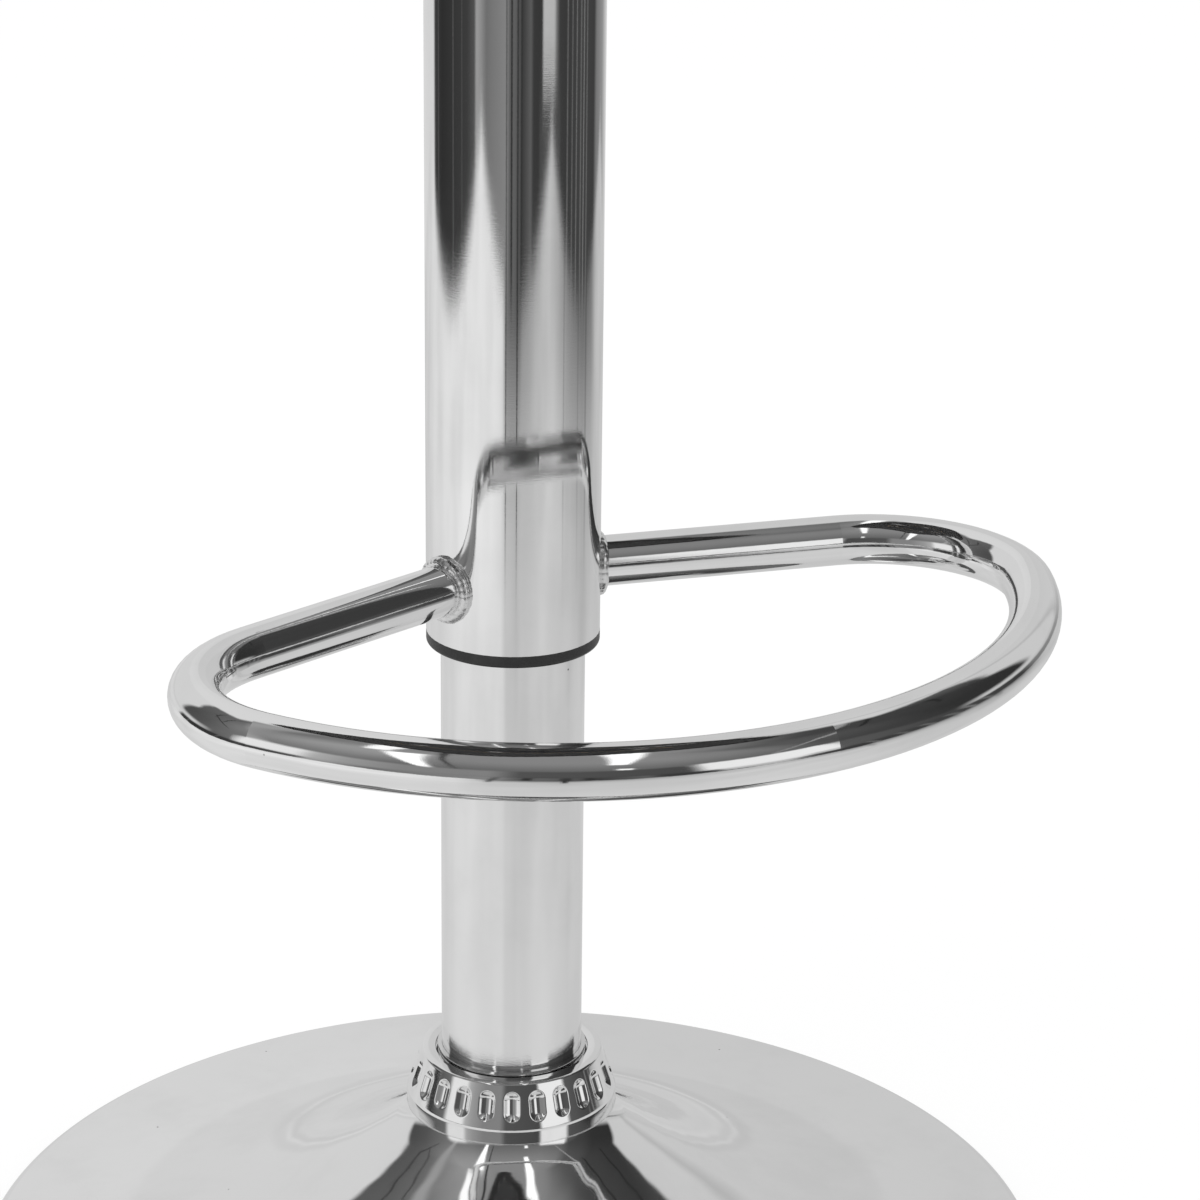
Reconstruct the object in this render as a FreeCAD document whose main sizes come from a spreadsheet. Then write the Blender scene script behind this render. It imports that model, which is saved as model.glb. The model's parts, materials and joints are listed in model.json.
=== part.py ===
import FreeCAD, Part
import math
import os
from types import SimpleNamespace

import Sketcher

# Height-adjustable swivel bar stool with a trumpet base, a gas-lift column and a D-shaped footrest.
# Frame: the origin is on the floor under the column's axis, +Z is up and the footrest points to -Y.
# Lengths are in millimetres, and names that end in slope, split, sweep or turn are angles in degrees.

SIZES = {
    # Spun base, with the ring that it stands on and the plate that weighs it down
    "base_radius": 192.5,
    "base_sheet": 1.5,
    "foot_height": 2.5,
    "foot_width": 16.0,
    "foot_lip": 1.6,
    "rim_band": 1.8,
    "rim_round": 4.0,
    "disc_slope": 1.5,
    "flare_split": 39.0,
    "flare_round": 22.0,
    "neck_slope": 66.0,
    "neck_radius": 35.5,
    "weight_thickness": 4.0,
    "weight_margin": 5.0,
    # Dimpled collar over the neck
    "collar_low": 64.4,
    "collar_band": 5.8,
    "collar_height": 21.6,
    "collar_radius": 37.6,
    "collar_wall": 1.7,
    "collar_lip": 5.0,
    "collar_bore": 27.2,
    "collar_edge": 0.9,
    "dimple_count": 24,
    "dimple_width": 6.1,
    "dimple_length": 9.2,
    "dimple_depth": 1.5,
    # Socket in the base and the fixed column
    "socket_radius": 26.5,
    "socket_step": 1.4,
    "column_radius": 25.0,
    "column_wall": 2.0,
    "column_low": 14.0,
    "column_height": 464.0,
    "taper_length": 75.0,
    "taper_slope": 1.45,
    "guide_length": 80.0,
    "guide_flange": 2.0,
    "end_plate": 4.0,
    # Thrust bearing under the piston rod
    "race_radius": 11.0,
    "race_thickness": 1.5,
    "ball_radius": 2.0,
    "ball_circle": 8.0,
    "ball_count": 9,
    "cage_thickness": 1.2,
    "bumper_radius": 12.0,
    "bumper_height": 37.0,
    # Piston rod, with its washer, clip and piston
    "rod_radius": 5.0,
    "rod_neck": 4.0,
    "rod_tail": 5.5,
    "rod_entry": 87.1,
    "washer_radius": 9.0,
    "washer_thickness": 1.5,
    "clip_radius": 7.5,
    "clip_groove": 3.1,
    "clip_thickness": 1.2,
    "clip_slot": 5.0,
    "piston_height": 12.0,
    # Gas cylinder and its release pin
    "cylinder_rise": 17.0,
    "cylinder_radius": 14.0,
    "cylinder_wall": 2.0,
    "cylinder_length": 467.0,
    "cylinder_plug": 24.0,
    "gland_height": 12.0,
    "cone_length": 35.0,
    "cone_slope": 1.45,
    "pin_radius": 4.0,
    "pin_rise": 5.0,
    "pin_round": 2.4,
    # Rising sleeve, its bush, its inner rings
    "sleeve_low": 245.0,
    "sleeve_radius": 30.0,
    "sleeve_wall": 1.8,
    "sleeve_length": 420.0,
    "bush_rim": 4.4,
    "bush_round": 1.3,
    "bush_depth": 45.0,
    "centring_drop": 15.5,
    "centring_height": 16.0,
    "cap_thickness": 3.0,
    # Footrest and the welds that hold it
    "rest_height": 20.4,
    "rest_tube": 8.8,
    "rest_wall": 1.5,
    "rest_reach": 187.0,
    "rest_front": 165.0,
    "rest_corner": 49.5,
    "rest_offset": 3.0,
    "rest_sweep": 14.9,
    "bead_radius": 2.9,
    # Seat plate, mechanism box and cone socket
    "plate_length": 200.0,
    "plate_width": 160.0,
    "plate_thickness": 2.5,
    "plate_corner": 16.0,
    "box_front": 42.0,
    "box_back": 80.0,
    "box_width": 64.0,
    "box_height": 27.0,
    "box_sheet": 2.0,
    "box_corner": 8.0,
    "cone_wall": 5.0,
    "cone_grip": 31.0,
    "screw_across": 75.0,
    "screw_along": 58.0,
    # Lever that works the release pin
    "pivot_across": 45.0,
    "pivot_drop": 5.0,
    "pivot_radius": 2.5,
    "tongue_tip": 6.0,
    "tongue_thickness": 3.0,
    "tongue_width": 18.0,
    "tongue_gap": 0.4,
    "lug_length": 30.0,
    "lug_drop": 13.0,
    "lever_radius": 4.0,
    "lever_level": 58.0,
    "lever_dip": 16.0,
    "lever_slant": 30.0,
    "lever_end": 192.0,
    "slot_height": 16.0,
    "slot_width": 12.0,
    "grip_radius": 8.0,
    "grip_length": 48.0,
    "grip_round": 3.0,
    # Fasteners
    "screw_radius": 3.0,
    "screw_length": 15.0,
    "screw_head": 5.5,
    "screw_head_height": 3.6,
    "screw_drive": 2.0,
    "tee_radius": 9.5,
    "tee_flange": 1.2,
    "tee_barrel": 3.9,
    "tee_length": 9.0,
    "ring_radius": 7.0,
    "ring_thickness": 1.2,
    # Seat board and the cover under it
    "board_thickness": 15.0,
    "board_margin": 13.0,
    "under_thickness": 0.8,
    "under_margin": 12.0,
    "under_gap": 2.0,
    # Padded seat
    "seat_half_width": 202.5,
    "seat_half_depth": 197.5,
    "seat_corner": 70.0,
    "seat_side_turn": 3.5,
    "pad_height": 77.5,
    "seat_crown": 1100.0,
    "seat_edge": 24.0,
    "seat_foot_edge": 5.0,
    "seat_skin": 1.4,
    "channel_spacing": 79.0,
    "channel_count": 4,
    "channel_radius": 5.5,
    "channel_sweep": 30.0,
    "piping_radius": 2.6,
    # Clearances
    "fit": 0.05,
    "running": 0.08,
    "seat_gap": 0.3,
    "overrun": 5.0,
}

doc = FreeCAD.newDocument("swivel_bar_stool")
sheet = doc.addObject("Spreadsheet::Sheet", "Sizes")
worked_sheet = doc.addObject("Spreadsheet::Sheet", "Worked")


class Size:
    """A size with its number and the words that give it in the document."""

    def __init__(self, number, words):
        self.number = number
        self.words = words

    def joined(self, sign, other, number):
        return Size(number, f"({self.words} {sign} {other.words})")

    def __add__(self, other):
        other = as_size(other)
        return self.joined("+", other, self.number + other.number)

    def __sub__(self, other):
        other = as_size(other)
        return self.joined("-", other, self.number - other.number)

    def __mul__(self, other):
        other = as_size(other)
        return self.joined("*", other, self.number * other.number)

    def __truediv__(self, other):
        other = as_size(other)
        return self.joined("/", other, self.number / other.number)

    def __rmul__(self, other):
        return as_size(other) * self

    def __neg__(self):
        return Size(-self.number, f"(0 - {self.words})")


def as_size(value):
    if isinstance(value, Size):
        return value
    return Size(float(value), repr(float(value)))


def sine(angle):
    return Size(math.sin(math.radians(angle.number)), f"sin({angle.words})")


def cosine(angle):
    return Size(math.cos(math.radians(angle.number)), f"cos({angle.words})")


def tangent(angle):
    return Size(math.tan(math.radians(angle.number)), f"tan({angle.words})")


def root(size):
    return Size(math.sqrt(size.number), f"sqrt({size.words})")


def fill_sheet():
    """Puts every driving size into the sheet as a plain number with an alias."""
    sizes = SimpleNamespace()
    for row, (alias, number) in enumerate(SIZES.items(), start=1):
        sheet.set(f"A{row}", alias)
        sheet.set(f"B{row}", str(number))
        sheet.setAlias(f"B{row}", alias)
        setattr(sizes, alias, Size(float(number), f"Sizes.{alias}"))
    doc.recompute()
    return sizes


worked_names = []


def worked(alias, size):
    """Gives a worked-out size a name of its own in the second sheet."""
    worked_names.append(alias)
    row = len(worked_names)
    worked_sheet.set(f"A{row}", alias)
    worked_sheet.set(f"B{row}", "=" + size.words)
    worked_sheet.setAlias(f"B{row}", alias)
    return Size(size.number, f"Worked.{alias}")


s = fill_sheet()
NONE = as_size(0)

# Heights and places that several pieces share
rim_top = worked("rim_top", s.foot_height + s.rim_band)
rim_edge = worked("rim_edge", s.base_radius - s.rim_round)
collar_top = worked("collar_top", s.collar_low + s.collar_height)
collar_shoulder = worked("collar_shoulder", s.collar_low + s.collar_band)
collar_lip_radius = worked("collar_lip_radius", s.collar_bore + s.collar_lip)
collar_inside = worked("collar_inside", s.neck_radius + s.fit)
socket_top = worked("socket_top", collar_top + s.socket_step)
column_top = worked("column_top", s.column_low + s.column_height)
taper_top = worked("taper_top", s.column_low + s.taper_length)
column_foot = worked("column_foot", s.column_radius - s.taper_length * tangent(s.taper_slope))
column_inside = worked("column_inside", s.column_radius - s.column_wall)
plate_top = worked("plate_top", s.column_low + s.end_plate)
ball_height = worked("ball_height", plate_top + s.race_thickness + s.fit + s.ball_radius)
race_low = worked("race_low", ball_height + s.ball_radius + s.fit)
race_top = worked("race_top", race_low + s.race_thickness)
rod_low = worked("rod_low", s.column_low - s.rod_tail)
sleeve_top = worked("sleeve_top", s.sleeve_low + s.sleeve_length)
cylinder_top = worked("cylinder_top", sleeve_top + s.cylinder_rise)
cylinder_low = worked("cylinder_low", cylinder_top - s.cylinder_length)
rod_top = worked("rod_top", cylinder_low + s.rod_entry)
cylinder_inside = worked("cylinder_inside", s.cylinder_radius - s.cylinder_wall)
cone_low = worked("cone_low", cylinder_top - s.cone_length)
cone_tip = worked("cone_tip", s.cylinder_radius - s.cone_length * tangent(s.cone_slope))
sleeve_inside = worked("sleeve_inside", s.sleeve_radius - s.sleeve_wall)
rest_level = worked("rest_level", s.sleeve_low + s.rest_height)
plate_low = worked("plate_low", sleeve_top + s.box_height)
board_low = worked("board_low", plate_low + s.plate_thickness)
board_top = worked("board_top", board_low + s.board_thickness)
pin_top = worked("pin_top", cylinder_top + s.pin_rise)
tongue_low = worked("tongue_low", pin_top + s.tongue_gap)
pivot_level = worked("pivot_level", plate_low - s.box_height / 2 + s.pivot_drop)
grip_level = worked("grip_level", pivot_level - s.lever_dip)

# The trumpet's outline, from the rim inwards
slope_sine = worked("slope_sine", sine(s.disc_slope))
slope_cosine = worked("slope_cosine", cosine(s.disc_slope))
slope_tangent = worked("slope_tangent", tangent(s.disc_slope))
split_sine = worked("split_sine", sine(s.flare_split))
split_cosine = worked("split_cosine", cosine(s.flare_split))
rim_turn_x = worked("rim_turn_x", rim_edge + s.rim_round * slope_sine)
rim_turn_z = worked("rim_turn_z", rim_top + s.rim_round * slope_cosine)
neck_sine = worked("neck_sine", sine(s.neck_slope))
neck_cosine = worked("neck_cosine", cosine(s.neck_slope))
split_x = worked("split_x", s.neck_radius + s.flare_round * (neck_sine - split_sine))
split_z = worked("split_z", s.collar_low - s.flare_round * (split_cosine - neck_cosine))
lower_flare = worked(
    "lower_flare",
    (split_z - rim_turn_z - (rim_turn_x - split_x) * slope_tangent)
    / (slope_cosine - split_cosine - (split_sine - slope_sine) * slope_tangent),
)
flare_foot_x = worked("flare_foot_x", split_x + lower_flare * (split_sine - slope_sine))
flare_foot_z = worked("flare_foot_z", split_z - lower_flare * (slope_cosine - split_cosine))
skin_slope_x = worked("skin_slope_x", s.base_sheet * slope_sine)
skin_slope_z = worked("skin_slope_z", s.base_sheet * slope_cosine)
skin_split_x = worked("skin_split_x", s.base_sheet * split_sine)
skin_split_z = worked("skin_split_z", s.base_sheet * split_cosine)
skin_neck_x = worked("skin_neck_x", s.base_sheet * neck_sine)
skin_neck_z = worked("skin_neck_z", s.base_sheet * neck_cosine)
shoulder_x = worked("shoulder_x", collar_lip_radius - s.collar_wall)
shoulder_z = worked("shoulder_z", collar_top - s.collar_wall - s.seat_gap)
neck_mouth = worked("neck_mouth", s.socket_radius + s.fit)

# The floor ring and the weight
ring_ledge = worked("ring_ledge", s.base_radius - s.base_sheet - s.fit)
ring_inside = worked("ring_inside", ring_ledge - s.foot_width)
weight_radius = worked("weight_radius", ring_ledge - s.weight_margin)

# The socket's bore
bore_low = worked("bore_low", column_foot + s.fit)
bore_top = worked("bore_top", s.column_radius + s.fit - (taper_top - socket_top) * tangent(s.taper_slope))

# The collar's cone and its dimples
cone_rise = worked("cone_rise", collar_top - collar_shoulder)
cone_run = worked("cone_run", s.collar_radius - collar_lip_radius)
dimple_x = worked("dimple_x", (s.collar_radius + collar_lip_radius) / 2)
dimple_z = worked("dimple_z", (collar_shoulder + collar_top) / 2)

# The rod's clip
clip_top = worked("clip_top", s.column_low - s.seat_gap - s.washer_thickness)
clip_low = worked("clip_low", clip_top - s.clip_thickness)

# The tube that grips the cylinder's cone
socket_tube = worked("socket_tube", s.cylinder_radius + s.cone_wall)

# The footrest's path: a leg, a corner arc and a front arc that are tangent to each other
rest_sine = worked("rest_sine", sine(s.rest_sweep))
rest_cosine = worked("rest_cosine", cosine(s.rest_sweep))
front_middle = worked("front_middle", s.rest_reach - s.rest_front)
leg_across = worked("leg_across", -s.rest_corner * rest_sine)
leg_ahead = worked("leg_ahead", s.rest_corner * rest_cosine - s.rest_offset - front_middle)
leg_share = worked("leg_share", leg_across * rest_cosine + leg_ahead * rest_sine)
leg_rest = worked(
    "leg_rest",
    leg_across * leg_across + leg_ahead * leg_ahead
    - (s.rest_front - s.rest_corner) * (s.rest_front - s.rest_corner),
)
leg_length = worked("leg_length", root(leg_share * leg_share - leg_rest) - leg_share)
corner_across = worked("corner_across", leg_length * rest_cosine - s.rest_corner * rest_sine)
corner_ahead = worked(
    "corner_ahead", leg_length * rest_sine + s.rest_corner * rest_cosine - s.rest_offset,
)
turn_share = worked("turn_share", s.rest_front / (s.rest_front - s.rest_corner))
rest_turn_x = worked("rest_turn_x", corner_across * turn_share)
rest_turn_y = worked("rest_turn_y", front_middle + (corner_ahead - front_middle) * turn_share)

# The mechanism box and the cone socket
box_middle = worked("box_middle", (s.box_back - s.box_front) / 2)
box_half = worked("box_half", (s.box_back + s.box_front) / 2)
slot_low = worked("slot_low", plate_low - s.box_sheet / 2 - s.slot_height)
socket_low = worked("socket_low", cylinder_top - s.cone_grip)
socket_wide = worked("socket_wide", cone_tip + s.cone_grip * tangent(s.cone_slope) + s.fit)

# Holes for the seat screws
screw_hole = worked("screw_hole", s.screw_radius + s.seat_gap)

# The lever's bends and its grip
bend_start = worked("bend_start", s.box_back + s.box_corner)
bend_end = worked("bend_end", bend_start + s.lever_slant)
grip_end = worked("grip_end", s.lever_end + s.grip_round)

# The seat board
board_width = worked("board_width", s.seat_half_width - s.board_margin)
board_depth = worked("board_depth", s.seat_half_depth - s.board_margin)
board_corner = worked("board_corner", s.seat_corner - s.board_margin)

# The cover under the board
under_low = worked("under_low", board_low - s.under_thickness)

# The padded seat
seat_top = worked("seat_top", board_low + s.pad_height)
crown_middle = worked("crown_middle", seat_top - s.seat_crown)
foam_low = worked("foam_low", board_low + s.seat_skin)

# The crown's height over the tips of the seat's corners, which are its lowest
corner_x = worked("corner_x", s.seat_half_width - s.seat_corner)
corner_y = worked("corner_y", s.seat_half_depth - s.seat_corner)
corner_reach = worked("corner_reach", root(corner_x * corner_x + corner_y * corner_y) + s.seat_corner)
corner_top = worked(
    "corner_top", crown_middle + root(s.seat_crown * s.seat_crown - corner_reach * corner_reach),
)

# The piping's path, just under the rounded top edge
piping_level = worked("piping_level", corner_top - s.seat_edge - s.piping_radius)
hollow_round = worked("hollow_round", corner_x / sine(s.seat_side_turn) - s.seat_corner)
piping_front = worked(
    "piping_front", hollow_round - corner_y - (s.seat_corner + hollow_round) * cosine(s.seat_side_turn),
)

doc.recompute()
pieces = {}


def keep(name, thing):
    """Labels a finished piece, so that it is written out under that name."""
    thing.Label = name
    pieces[name] = thing
    return thing


def bind(thing, path, size):
    thing.setExpression(path, size.words)


def new_body(name):
    body = doc.addObject("PartDesign::Body", name + "_body")
    return keep(name, body)


def origin_item(body, role):
    return [item for item in body.Origin.OriginFeatures if item.Role == role][0]


def new_sketch(body, name, role, lift=NONE):
    """Attaches a sketch to one of the body's origin planes, raised along its normal."""
    sketch = body.newObject("Sketcher::SketchObject", name)
    sketch.AttachmentSupport = [(origin_item(body, role), "")]
    sketch.MapMode = "FlatFace"
    if lift is not NONE:
        bind(sketch, ".AttachmentOffset.Base.z", lift)
    return sketch


def hold(sketch, kind, first, second, geometry, point, size):
    """Holds a point of the sketch at a signed distance from the sketch's origin."""
    if abs(size.number) < s.fit.number / 1000:
        axis = -2 if kind == "DistanceX" else -1
        sketch.addConstraint(Sketcher.Constraint("PointOnObject", geometry, point, axis))
        return
    held = Sketcher.Constraint(kind, first, second, geometry, point, size.number)
    index = sketch.addConstraint(held)
    bind(sketch, f"Constraints[{index}]", size)


def hold_point(sketch, geometry, point, across, up):
    hold(sketch, "DistanceX", -1, 1, geometry, point, across)
    hold(sketch, "DistanceY", -1, 1, geometry, point, up)


def add_arc(sketch, start, end, radius, side):
    """Adds an arc between two points, with its centre on the left of the way for side 1, right for -1."""
    across = end[0].number - start[0].number
    up = end[1].number - start[1].number
    chord = math.hypot(across, up)
    rise = math.sqrt(max(radius.number ** 2 - chord ** 2 / 4, 0))
    centre = FreeCAD.Vector(
        (start[0].number + end[0].number) / 2 - side * rise * up / chord,
        (start[1].number + end[1].number) / 2 + side * rise * across / chord,
        0,
    )
    first = math.atan2(start[1].number - centre.y, start[0].number - centre.x)
    last = math.atan2(end[1].number - centre.y, end[0].number - centre.x)
    if side < 0:
        first, last = last, first
    circle = Part.Circle(centre, FreeCAD.Vector(0, 0, 1), radius.number)
    index = sketch.addGeometry(Part.ArcOfCircle(circle, first, last), False)
    held = sketch.addConstraint(Sketcher.Constraint("Radius", index, radius.number))
    bind(sketch, f"Constraints[{held}]", radius)
    return (index, 1, 2) if side > 0 else (index, 2, 1)


def add_line(sketch, start, end):
    line = Part.LineSegment(
        FreeCAD.Vector(start[0].number, start[1].number, 0),
        FreeCAD.Vector(end[0].number, end[1].number, 0),
    )
    return (sketch.addGeometry(line, False), 1, 2)


def draw_chain(sketch, corners, closed=True):
    """Draws lines and arcs from corner to corner.

    A corner is (across, up), or (across, up, radius, side) where an arc leads to the next corner.
    """
    corners = [tuple(as_size(part) for part in corner[:3]) + tuple(corner[3:]) for corner in corners]
    count = len(corners) if closed else len(corners) - 1
    edges = []
    for index in range(count):
        start = corners[index]
        end = corners[(index + 1) % len(corners)]
        if len(start) == 4:
            edges.append(add_arc(sketch, start, end, start[2], start[3]))
        else:
            edges.append(add_line(sketch, start, end))
        hold_point(sketch, edges[-1][0], edges[-1][1], start[0], start[1])
    if not closed:
        hold_point(sketch, edges[-1][0], edges[-1][2], corners[-1][0], corners[-1][1])
    for index in range(count if closed else count - 1):
        here = edges[index]
        following = edges[(index + 1) % count]
        sketch.addConstraint(Sketcher.Constraint("Coincident", here[0], here[2], following[0], following[1]))


def add_circle(sketch, across, up, radius):
    across = as_size(across)
    up = as_size(up)
    centre = FreeCAD.Vector(across.number, up.number, 0)
    index = sketch.addGeometry(Part.Circle(centre, FreeCAD.Vector(0, 0, 1), radius.number), False)
    hold_point(sketch, index, 3, across, up)
    held = sketch.addConstraint(Sketcher.Constraint("Radius", index, radius.number))
    bind(sketch, f"Constraints[{held}]", radius)


def turn(body, name, corners, kind="PartDesign::Revolution", plane="XZ_Plane"):
    """Turns an upright outline about the column's axis."""
    sketch = new_sketch(body, name + "_outline", plane)
    draw_chain(sketch, corners)
    feature = body.newObject(kind, name)
    feature.Profile = sketch
    feature.ReferenceAxis = (sketch, ["V_Axis"])
    feature.Angle = 360
    sketch.Visibility = False
    return feature


def turned_piece(name, corners):
    body = new_body(name)
    turn(body, name + "_turn", corners)
    return body


def ring_piece(name, inner, outer, low, high):
    """A plain ring with a square section."""
    return turned_piece(name, [(inner, low), (outer, low), (outer, high), (inner, high)])


def raise_pad(body, name, draw, low, height):
    """Pads a sketch that draw fills, from a level upwards."""
    sketch = new_sketch(body, name + "_outline", "XY_Plane", low)
    draw(sketch)
    pad = body.newObject("PartDesign::Pad", name)
    pad.Profile = sketch
    bind(pad, "Length", height)
    sketch.Visibility = False
    return pad


def cut_pocket(body, name, draw, low, height):
    """Cuts a pocket that draw fills, from a level upwards."""
    sketch = new_sketch(body, name + "_outline", "XY_Plane", low)
    draw(sketch)
    pocket = body.newObject("PartDesign::Pocket", name)
    pocket.Profile = sketch
    pocket.Reversed = True
    bind(pocket, "Length", height)
    sketch.Visibility = False
    return pocket


def rounded_corners(half_across, half_up, radius):
    """The corners of a rectangle with round corners, with its middle at the sketch's origin."""
    inner_across = half_across - radius
    inner_up = half_up - radius
    return [
        (inner_across, -half_up, radius, 1),
        (half_across, -inner_up),
        (half_across, inner_up, radius, 1),
        (inner_across, half_up),
        (-inner_across, half_up, radius, 1),
        (-half_across, inner_up),
        (-half_across, -inner_up, radius, 1),
        (-inner_across, -half_up),
    ]


def bowed_corners(half_width, half_depth, radius, turn_angle):
    """The corners of a square with round corners whose sides are drawn in between them.

    Each corner arc runs past its quarter by the turn at both ends, and a hollow arc joins it to the next.
    """
    middle_x = half_width - radius
    middle_y = half_depth - radius
    reach = radius * cosine(turn_angle)
    past = radius * sine(turn_angle)
    side_round = middle_y / sine(turn_angle) - radius
    front_round = middle_x / sine(turn_angle) - radius
    return [
        (middle_x - past, -(middle_y + reach), radius, 1),
        (middle_x + reach, -(middle_y - past), side_round, -1),
        (middle_x + reach, middle_y - past, radius, 1),
        (middle_x - past, middle_y + reach, front_round, -1),
        (-(middle_x - past), middle_y + reach, radius, 1),
        (-(middle_x + reach), middle_y - past, side_round, -1),
        (-(middle_x + reach), -(middle_y - past), radius, 1),
        (-(middle_x - past), -(middle_y + reach), front_round, -1),
    ]


def round_edges(body, base, name, radius, wanted):
    """Rounds the edges of the last feature that the test wanted picks out."""
    doc.recompute()
    picked = []
    for index, edge in enumerate(base.Shape.Edges, start=1):
        if wanted(edge):
            picked.append(f"Edge{index}")
    fillet = body.newObject("PartDesign::Fillet", name)
    fillet.Base = (base, picked)
    bind(fillet, "Radius", radius)
    return fillet


def at_height(edge, level):
    box = edge.BoundBox
    return abs(box.ZMin - level.number) < s.fit.number and abs(box.ZMax - level.number) < s.fit.number


# Spun base: a thin trumpet shell that flares from the neck to a nearly flat disc with a rolled rim

turned_piece("base_shell", [
    (s.base_radius, s.foot_height),
    (s.base_radius, rim_top, s.rim_round, 1),
    (rim_turn_x, rim_turn_z),
    (flare_foot_x, flare_foot_z, lower_flare, -1),
    (split_x, split_z, s.flare_round, -1),
    (s.neck_radius, s.collar_low),
    (s.neck_radius, collar_shoulder),
    (shoulder_x, shoulder_z),
    (neck_mouth, shoulder_z),
    (neck_mouth, shoulder_z - s.base_sheet),
    (shoulder_x - s.base_sheet, shoulder_z - s.base_sheet),
    (s.neck_radius - s.base_sheet, collar_shoulder - s.base_sheet / 2),
    (s.neck_radius - s.base_sheet, s.collar_low),
    (s.neck_radius - skin_neck_x, s.collar_low - skin_neck_z, s.flare_round + s.base_sheet, 1),
    (split_x - skin_split_x, split_z - skin_split_z, lower_flare + s.base_sheet, 1),
    (flare_foot_x - skin_slope_x, flare_foot_z - skin_slope_z),
    (rim_turn_x - skin_slope_x, rim_turn_z - skin_slope_z, s.rim_round - s.base_sheet, -1),
    (s.base_radius - s.base_sheet, rim_top),
    (s.base_radius - s.base_sheet, s.foot_height),
])

# Rubber ring under the rim: the shell's edge stands on its ledge, and the weight lies on it inside
turned_piece("floor_ring", [
    (ring_inside, NONE),
    (s.base_radius - s.base_sheet / 2, NONE),
    (s.base_radius - s.base_sheet / 2, s.foot_height),
    (ring_ledge, s.foot_height),
    (ring_ledge, s.foot_height + s.foot_lip),
    (ring_ledge - s.foot_lip, s.foot_height + s.foot_lip),
    (ring_ledge - s.foot_lip, s.foot_height),
    (ring_inside, s.foot_height),
])
ring_piece(
    "base_weight", s.socket_radius + s.fit, weight_radius,
    s.foot_height, s.foot_height + s.weight_thickness,
)

# Socket for the column's taper
turned_piece("taper_socket", [
    (bore_low, s.foot_height),
    (s.socket_radius, s.foot_height),
    (s.socket_radius, socket_top),
    (bore_top, socket_top),
    (bore_low, s.column_low),
])

# Dimpled collar that drops over the neck
collar = new_body("collar")
collar_turn = turn(collar, "collar_turn", [
    (collar_inside, s.collar_low),
    (s.collar_radius, s.collar_low),
    (s.collar_radius, collar_shoulder),
    (collar_lip_radius, collar_top),
    (s.collar_bore, collar_top),
    (s.collar_bore, collar_top - s.collar_wall),
    (shoulder_x + s.seat_gap / 2, collar_top - s.collar_wall),
    (collar_inside, collar_shoulder),
])
collar_round = round_edges(
    collar, collar_turn, "collar_round", s.collar_edge,
    lambda edge: at_height(edge, collar_top) or (
        at_height(edge, collar_shoulder) and edge.BoundBox.XMax > collar_inside.number + s.fit.number
    ),
)
dimple = collar.newObject("PartDesign::SubtractiveEllipsoid", "collar_dimple")
dimple.AttachmentSupport = [(origin_item(collar, "XY_Plane"), "")]
dimple.MapMode = "FlatFace"
bind(dimple, "Radius1", s.dimple_length / 2)
bind(dimple, "Radius2", s.dimple_depth)
bind(dimple, "Radius3", s.dimple_width / 2)
bind(dimple, ".AttachmentOffset.Base.x", dimple_x)
bind(dimple, ".AttachmentOffset.Base.z", dimple_z)
lean = math.degrees(math.atan2(cone_run.number, cone_rise.number))
dimple.AttachmentOffset = FreeCAD.Placement(
    FreeCAD.Vector(dimple_x.number, 0, dimple_z.number),
    FreeCAD.Rotation(FreeCAD.Vector(0, 1, 0), -lean),
)
doc.recompute()
dimples = collar.newObject("PartDesign::PolarPattern", "collar_dimples")
dimples.Originals = [dimple]
dimples.Axis = (origin_item(collar, "Z_Axis"), [""])
dimples.Angle = 360
bind(dimples, "Occurrences", s.dimple_count)
collar.Tip = dimples

# Fixed column: a tube whose foot tapers into the socket
turned_piece("column_tube", [
    (column_foot - s.column_wall, s.column_low),
    (column_foot, s.column_low),
    (s.column_radius, taper_top),
    (s.column_radius, column_top),
    (column_inside, column_top),
    (column_inside, taper_top),
])
turned_piece("guide_bush", [
    (s.cylinder_radius + s.running, column_top - s.guide_length),
    (column_inside - s.fit, column_top - s.guide_length),
    (column_inside - s.fit, column_top),
    (s.column_radius, column_top),
    (s.column_radius, column_top + s.guide_flange),
    (s.cylinder_radius + s.running, column_top + s.guide_flange),
])
ring_piece(
    "end_plate", s.rod_neck + s.seat_gap, column_foot - s.column_wall - s.fit, s.column_low, plate_top,
)

# Thrust bearing that lets the rod turn on the end plate
ring_piece("lower_race", s.rod_neck + s.seat_gap, s.race_radius, plate_top, plate_top + s.race_thickness)
ring_piece("upper_race", s.rod_neck + s.fit, s.race_radius, race_low, race_top)


def around(count, radius, height):
    """Places evenly round the column's axis."""
    number = int(count.number)
    steps = [2 * math.pi * index / number for index in range(number)]
    return [
        FreeCAD.Vector(radius.number * math.cos(step), radius.number * math.sin(step), height.number)
        for step in steps
    ]


ball_places = around(s.ball_count, s.ball_circle, ball_height)
balls = doc.addObject("Part::Feature", "bearing_balls")
balls.Shape = Part.makeCompound([Part.makeSphere(s.ball_radius.number, place) for place in ball_places])
keep("bearing_balls", balls)

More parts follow.
